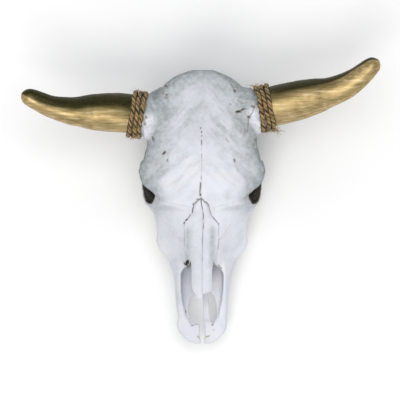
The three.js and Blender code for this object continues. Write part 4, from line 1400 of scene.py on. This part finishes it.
def tooth_enamel():
    """Worn cattle teeth: smooth cream enamel with faint streaks, and darker
    dentine in the hollows of the bite.  IOR 1.63 is enamel's."""
    material, tree, output = new_material("tooth_enamel")
    place = place_of(tree)
    streaks = noise_node(tree, place_of(tree, (1, 1, 0.25)), 3, 4, 0.6)
    wear = add(tree, "Attribute", attribute_name="stain").outputs["Fac"]
    clean = ramp(tree, streaks, [(0.25, "#c3b79c"), (0.5, "#ded8c8"), (0.8, "#ebe7dc")])
    dentine = ramp(tree, noise_node(tree, place, 2, 3), [(0.3, "#7a654a"), (0.7, "#a8906e")])
    shader = add(
        tree, "BsdfPrincipled",
        {"Base Color": mix_colour(tree, wear, clean, dentine),
         "Normal": bumps(tree, [(streaks, 0.4)], 0.5)},
        IOR=1.63, Roughness=0.36,
    )
    tree.links.new(shader.outputs[0], output.inputs[0])
    return material


BONE, ENAMEL = bleached_bone(), tooth_enamel()
print("materials:", BONE.name, ENAMEL.name)

# %% [markdown]
# ## Gold paint and jute
#
# The horns are brushed with metallic paint.  It is metal flake in a clear
# binder, so it shines like dull brass.  It is thin in patches, where the dark
# horn shows through, and the side away from the nose is darkened with the same
# dark colour as painted shade.  Jute is a dry plant fibre without gloss.


# %% Gold paint and jute
def gold_paint():
    """Brass-coloured metallic paint, brushed along the horn.  It is not a
    mirror: flakes lie at all angles, which gives roughness near 0.45."""
    material, tree, output = new_material("brushed_gold_paint")
    place = place_of(tree)
    strokes = noise_node(tree, place_of(tree, (0.07, 1, 1)), 4.5, 5, 0.66)
    patches = noise_node(tree, place, 22, 4, 0.6)
    flecks = noise_node(tree, place, 2.4, 3, 0.7)
    paint = ramp(tree, strokes, [(0.3, "#8b7a4c"), (0.5, "#b39c6c"), (0.7, "#dcc8a0")])
    # Dark horn colour: for worn patches, and for the painted shade on the side away from the nose.
    worn = ramp(tree, flecks, [(0.3, "#20220a"), (0.7, "#453e1a")])
    painted_shade_side = add(tree, "Attribute", attribute_name="painted_shade_and_wear").outputs["Fac"]
    patchy = add(tree, "MapRange", {"Value": patches}, **{"From Min": 0.5, "From Max": 0.72, "To Max": 0.35})
    painted_shade_and_wear = add(tree, "Math", {0: painted_shade_side, 1: patchy.outputs[0]}, operation="MAXIMUM")
    shader = add(
        tree, "BsdfPrincipled",
        {"Base Color": mix_colour(tree, painted_shade_and_wear.outputs[0], paint, worn),
         "Roughness": scaled(tree, patches, 0.25, 0.34),
         "Normal": bumps(tree, [(strokes, 0.25), (flecks, 0.3)], 0.5)},
        Metallic=0.78,
    )
    tree.links.new(shader.outputs[0], output.inputs[0])
    return material


def jute():
    """Jute fibre: matt and straw brown, with painted shade between the strands
    and the turns, and a soft sheen from loose fibre ends."""
    material, tree, output = new_material("jute_fibre")
    place = place_of(tree)
    fibre = noise_node(tree, place, 1.2, 4, 0.7, 1.5)
    tone = noise_node(tree, place, 9, 3, 0.6)
    light = ramp(tree, fibre, [(0.25, "#6c5026"), (0.5, "#a98a52"), (0.72, "#e2ca98")])
    # The colour of the painted shade in the rope's crevices.
    dark = ramp(tree, fibre, [(0.3, "#130e05"), (0.7, "#3a2b12")])
    crevice_shade = add(tree, "Attribute", attribute_name="crevice_shade").outputs["Fac"]
    shade = add(tree, "Math", {0: crevice_shade, 1: scaled(tree, tone, 0.9, -0.28)}, operation="ADD", use_clamp=True)
    shader = add(
        tree, "BsdfPrincipled",
        {"Base Color": mix_colour(tree, shade.outputs[0], light, dark),
         "Normal": bumps(tree, [(fibre, 0.7)], 0.6)},
        Roughness=0.9,
    )
    shader.inputs["Sheen Weight"].default_value = 0.15
    tree.links.new(shader.outputs[0], output.inputs[0])
    return material


GOLD, JUTE = gold_paint(), jute()
print("materials:", GOLD.name, JUTE.name)

# %% [markdown]
# ## Stains and painted shade
#
# A number at each point says how dark the bone is there: painted shade in the
# orbits and in the hole beside the nose, dirt in the pits and the open cracks,
# and a little along the sutures.  A second number says how far the sun has
# bleached it, and it also greys the flanks, the poll and the underside as
# painted shade.


# %% Stains and painted shade
# the seams that each kind of bone shares
SEAMS = {
    "lacrimal": ["lacrimal"], "cheekbone": ["malar"], "premaxilla": ["premaxilla"], "nasal": [],
    "maxilla": ["maxilla", "premaxilla", "malar", "lacrimal"], "cranium": ["lacrimal", "malar", "maxilla"],
}
SEAM_DIRT, SEAM_WIDTH = 0.14, 0.7
ORBIT_MIDDLE = np.array([92, 26, 112])


def closed(outline):
    """An outline with its first point again at its end."""
    return np.vstack([outline, outline[:1]])


def on_left(points):
    """Points of both sides laid over the left one."""
    return np.abs(points) * [1, 0, 0] + points * [0, 1, 1]


def seam_distance(points, seam):
    """Distance to a suture, in plan or from the side."""
    mirrored = on_left(points)
    if seam == "lacrimal":
        near = (points[:, 2] > LACRIMAL_LOW) & (mirrored[:, 0] > 24)
        return np.where(near, line_distance(mirrored, closed(OUTLINES[seam])), 99)
    away = line_distance(mirrored[:, [1, 2]], closed(OUTLINES[seam]))
    return np.where(mirrored[:, 0] > 60, away, 99) if seam == "malar" else away


def orbit_painted_shade(points, normals):
    """Painted shade in the orbits: 1 on the walls of an orbit, which face its middle, and 0 elsewhere."""
    flip = np.stack([np.sign(points[:, 0]), np.ones(len(points)), np.ones(len(points))], axis=1)
    inwards = ORBIT_MIDDLE - points * flip
    away = np.linalg.norm(inwards, axis=1)
    facing = np.sum(normals * flip * inwards, axis=1) / away
    return step_up(facing, 0.15, 0.65) * (1 - step_up(away, 32, 50))


def stain_of(name, points, normals):
    """From 0 on clean bone to 1 in a dirty crack, and up to 1 in the painted shade of the orbits and of the
    hole beside the nose.
    """
    # Painted shade in the orbits.
    dirt = 0.97 * orbit_painted_shade(points, normals)
    leaf = np.linalg.norm(points[:, :2] - LEAF_MIDDLE, axis=1)
    height = points[:, 2]
    # Painted shade down the hole beside the right nasal bone, and on the floor of the nose below it.
    dirt = np.maximum(dirt, 0.95 * (height > 75) * (height < 109) * (1 - step_up(leaf, 5, 8)))
    dirt = np.maximum(dirt, 0.85 * (height > 44) * (height < 75) * (1 - step_up(leaf, 3, 14)))
    broken = step_up(rough(points, 6, 2, 90), -0.6, 0.5)
    for seam in SEAMS[name.split("_")[0]]:
        away = seam_distance(points, seam) / SEAM_WIDTH
        dirt = np.maximum(dirt, SEAM_DIRT * broken * np.exp(-away ** 2))
    upper = (points[:, 2] > 40) * step_up(normals[:, 2], -0.1, 0.3)
    for line, half, _, dark in MARKS:
        away = line_distance(points, line) / half
        dirt = np.maximum(dirt, upper * dark * np.exp(-away ** 2))
    if name.startswith("nasal"):
        dirt = np.maximum(dirt, nasal_dirt(points))
    return dirt


def nasal_dirt(points):
    """Dirt in the seam between the nasal bones: dark at the root, in dashes,
    and grey towards the tip."""
    x, y = points[:, 0], points[:, 1]
    away = np.abs(x - smooth_lean(y))
    dashes = step_up(value_noise(points * [0, 1, 0], 6, 55), -0.5, 0.4)
    dark = 0.12 + 0.12 * dashes + 0.55 * step_up(y, -62, -38) * dashes
    return dark * np.exp(-(away / 0.9) ** 2)


def bleach_and_shade_of(points, normals):
    """From 0 on the flanks, the poll and below, which are darkened as painted shade,
    to 1 on the nose and the collars below the horns.  The forehead is between."""
    patchy = 0.16 * rough(points, 30, 2, 95) + 0.15 * strokes_of(points, 9, 97)
    x, y, up = abs(points[:, 0]), points[:, 1], normals[:, 2]
    # Painted shade: grey where the normal turns from straight up, towards the poll and out towards the
    # flanks.
    half = np.interp(y, [0, 120, 180, 215, 250], [118, 102, 88, 66, 42])
    level = np.interp(y, [0, 60, 100, 140, 190, 225, 250], [1, 0.95, 0.8, 0.72, 0.7, 0.36, 0.05])
    head = level * step_up(up + patchy, 0.2, 0.99) * (1 - 0.8 * step_up(x / half + patchy, 0.35, 1.0))
    for root in ROOTS:
        away = np.linalg.norm(points - root, axis=1) + 8 * patchy
        head = np.maximum(head, (1 - step_up(away, 44, 54)) * (1 - step_up(y - root[1], -10, 12)))
    # Painted shade: a grey band beside each nasal rod and grey on the downward faces of the nose.  The nose
    # is also a little darker towards -X.
    rods = step_up(-y, 36, 58) * (1 - step_up(-y, 108, 124))
    beside = np.exp(-((abs(points[:, 0] + 3) - 22) / 6.5) ** 2) * (up > 0.3)
    nose = (1 - 0.5 * rods * beside) * (0.55 + 0.45 * step_up(up, -0.7, 0.1))
    nose = nose * (1 - 0.13 * (1 - step_up(points[:, 0], -5, 40)))
    share = 1 - step_up(y + 12 * patchy, -45, 25)
    return np.maximum(share * nose + (1 - share) * head, 0.06)


SHARP_EDGE = 55  # degrees


def finish_piece(name, mesh, materials, nodes):
    """An object for a finished mesh: smooth but for its sharp edges, with its
    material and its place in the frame."""
    mesh.materials.clear()
    for material in materials:
        mesh.materials.append(material)
    mesh.polygons.foreach_set("use_smooth", np.ones(len(mesh.polygons), bool))
    mesh.set_sharp_from_angle(angle=math.radians(SHARP_EDGE))
    piece = put_object(name, mesh)
    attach(piece, "root")
    if nodes:
        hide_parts(*nodes)
    return piece


# y and height of the bone's edge along the teeth
BONE_EDGE = [-90, -60, -20, 10, 24, 36], [33.5, 31, 29.5, 30, 34, 40]


def enamel_faces(mesh):
    """1 for each face that belongs to a tooth, by its place, and 0 elsewhere."""
    middles = np.empty(len(mesh.polygons) * 3, np.float32)
    mesh.polygons.foreach_get("center", middles)
    x, y, z = on_left(middles.reshape(-1, 3) / MM).T
    found = np.zeros(len(x), bool)
    for tx, ty, length, width in TEETH:
        found |= (np.abs(x - tx) < width * 0.54) & (np.abs(y - ty) < length * 0.51)
    return (found & (z < np.interp(y, *BONE_EDGE))).astype(np.int32)


for name, mesh in bones.items():
    points, normals = read_points(mesh), normals_of(mesh)
    stain = stain_of(name, points, normals)
    if name.startswith("maxilla"):
        low = points[:, 2] - bite_at(points[:, 1])
        stain = np.maximum(stain, 0.8 * (low < 3) * step_up(low, 0.2, 1.6))
    # The stain holds dirt and also painted shade; the bleached values are mostly painted shade.
    set_attribute(mesh, "stain", stain)
    set_attribute(mesh, "bleached", bleach_and_shade_of(points, normals))
    finish_piece(name, mesh, [BONE, ENAMEL], [name])
    if name.startswith("maxilla"):
        mesh.polygons.foreach_set("material_index", enamel_faces(mesh))
for word, _ in SIDES:
    finish_piece(f"horn_{word}", horns[word], [GOLD], [f"horn_{word}"])
    finish_piece(f"rope_{word}", ropes[word], [JUTE], [f"rope_{word}"])
print("pieces placed")

# %% [markdown]
# ## Camera, light and floor
#
# The camera looks straight down at the skull on a pale floor.  A long lens from
# twelve metres away keeps the view nearly flat.  One large soft light stands
# high beyond the nose's end, and another hangs above to fill the shade.

# %% Camera, light and floor
CAMERA_HEIGHT, VIEW_LEVEL, VIEW_WIDTH = 12000, 120, 700.8
CAMERA_AT = (-3.5, 0.7)
SENSOR = 36
FLOOR_HALF = 12.0  # metres


def area_light(name, place, size, watts, colour="#ffffff"):
    """A square lamp at a place in metres, turned towards the skull."""
    lamp = bpy.data.lights.new(name, "AREA")
    lamp.energy, lamp.size, lamp.color = watts, size, linear(colour)[:3]
    holder = bpy.data.objects.new(name, lamp)
    holder.location = place
    aim = -np.array(place) + [0, 0, 0.1]
    holder.rotation_euler = (
        math.atan2(math.hypot(aim[0], aim[1]), -aim[2]), 0, math.atan2(-aim[0], aim[1]),
    )
    bpy.context.scene.collection.objects.link(holder)
    return holder


lens = bpy.data.cameras.new("camera")
lens.sensor_width = SENSOR
lens.lens = SENSOR * (CAMERA_HEIGHT - VIEW_LEVEL) / VIEW_WIDTH
lens.clip_end = 50
camera = bpy.data.objects.new("camera", lens)
camera.location = (CAMERA_AT[0] * MM, CAMERA_AT[1] * MM, CAMERA_HEIGHT * MM)
bpy.context.scene.collection.objects.link(camera)
bpy.context.scene.camera = camera

area_light("key", (-0.7, -2.6, 5.0), 2.6, 104, "#fffdf8")
area_light("top", (0.3, 0.9, 5.4), 3.6, 96)

world = bpy.data.worlds.new("studio")
world.use_nodes = True
world.node_tree.nodes["Background"].inputs["Color"].default_value = linear("#f4f5f8")
world.node_tree.nodes["Background"].inputs["Strength"].default_value = 0.64
bpy.context.scene.world = world
bpy.context.scene.view_settings.view_transform = "Standard"

floor_mesh = bpy.data.meshes.new("floor")
corners = [(-1, -1), (1, -1), (1, 1), (-1, 1)]
floor_mesh.from_pydata([(x * FLOOR_HALF, y * FLOOR_HALF, 0) for x, y in corners], [], [[0, 1, 2, 3]])
floor = put_object("floor", floor_mesh)


def plaster():
    """A matt white studio floor."""
    material, tree, output = new_material("matt_white_floor")
    shade = ramp(tree, noise_node(tree, place_of(tree), 400, 2), [(0.3, "#f4f4f4"), (0.7, "#f8f8f8")])
    shader = add(tree, "BsdfPrincipled", {"Base Color": shade}, Roughness=0.9)
    tree.links.new(shader.outputs[0], output.inputs[0])
    return material


floor_mesh.materials.append(plaster())
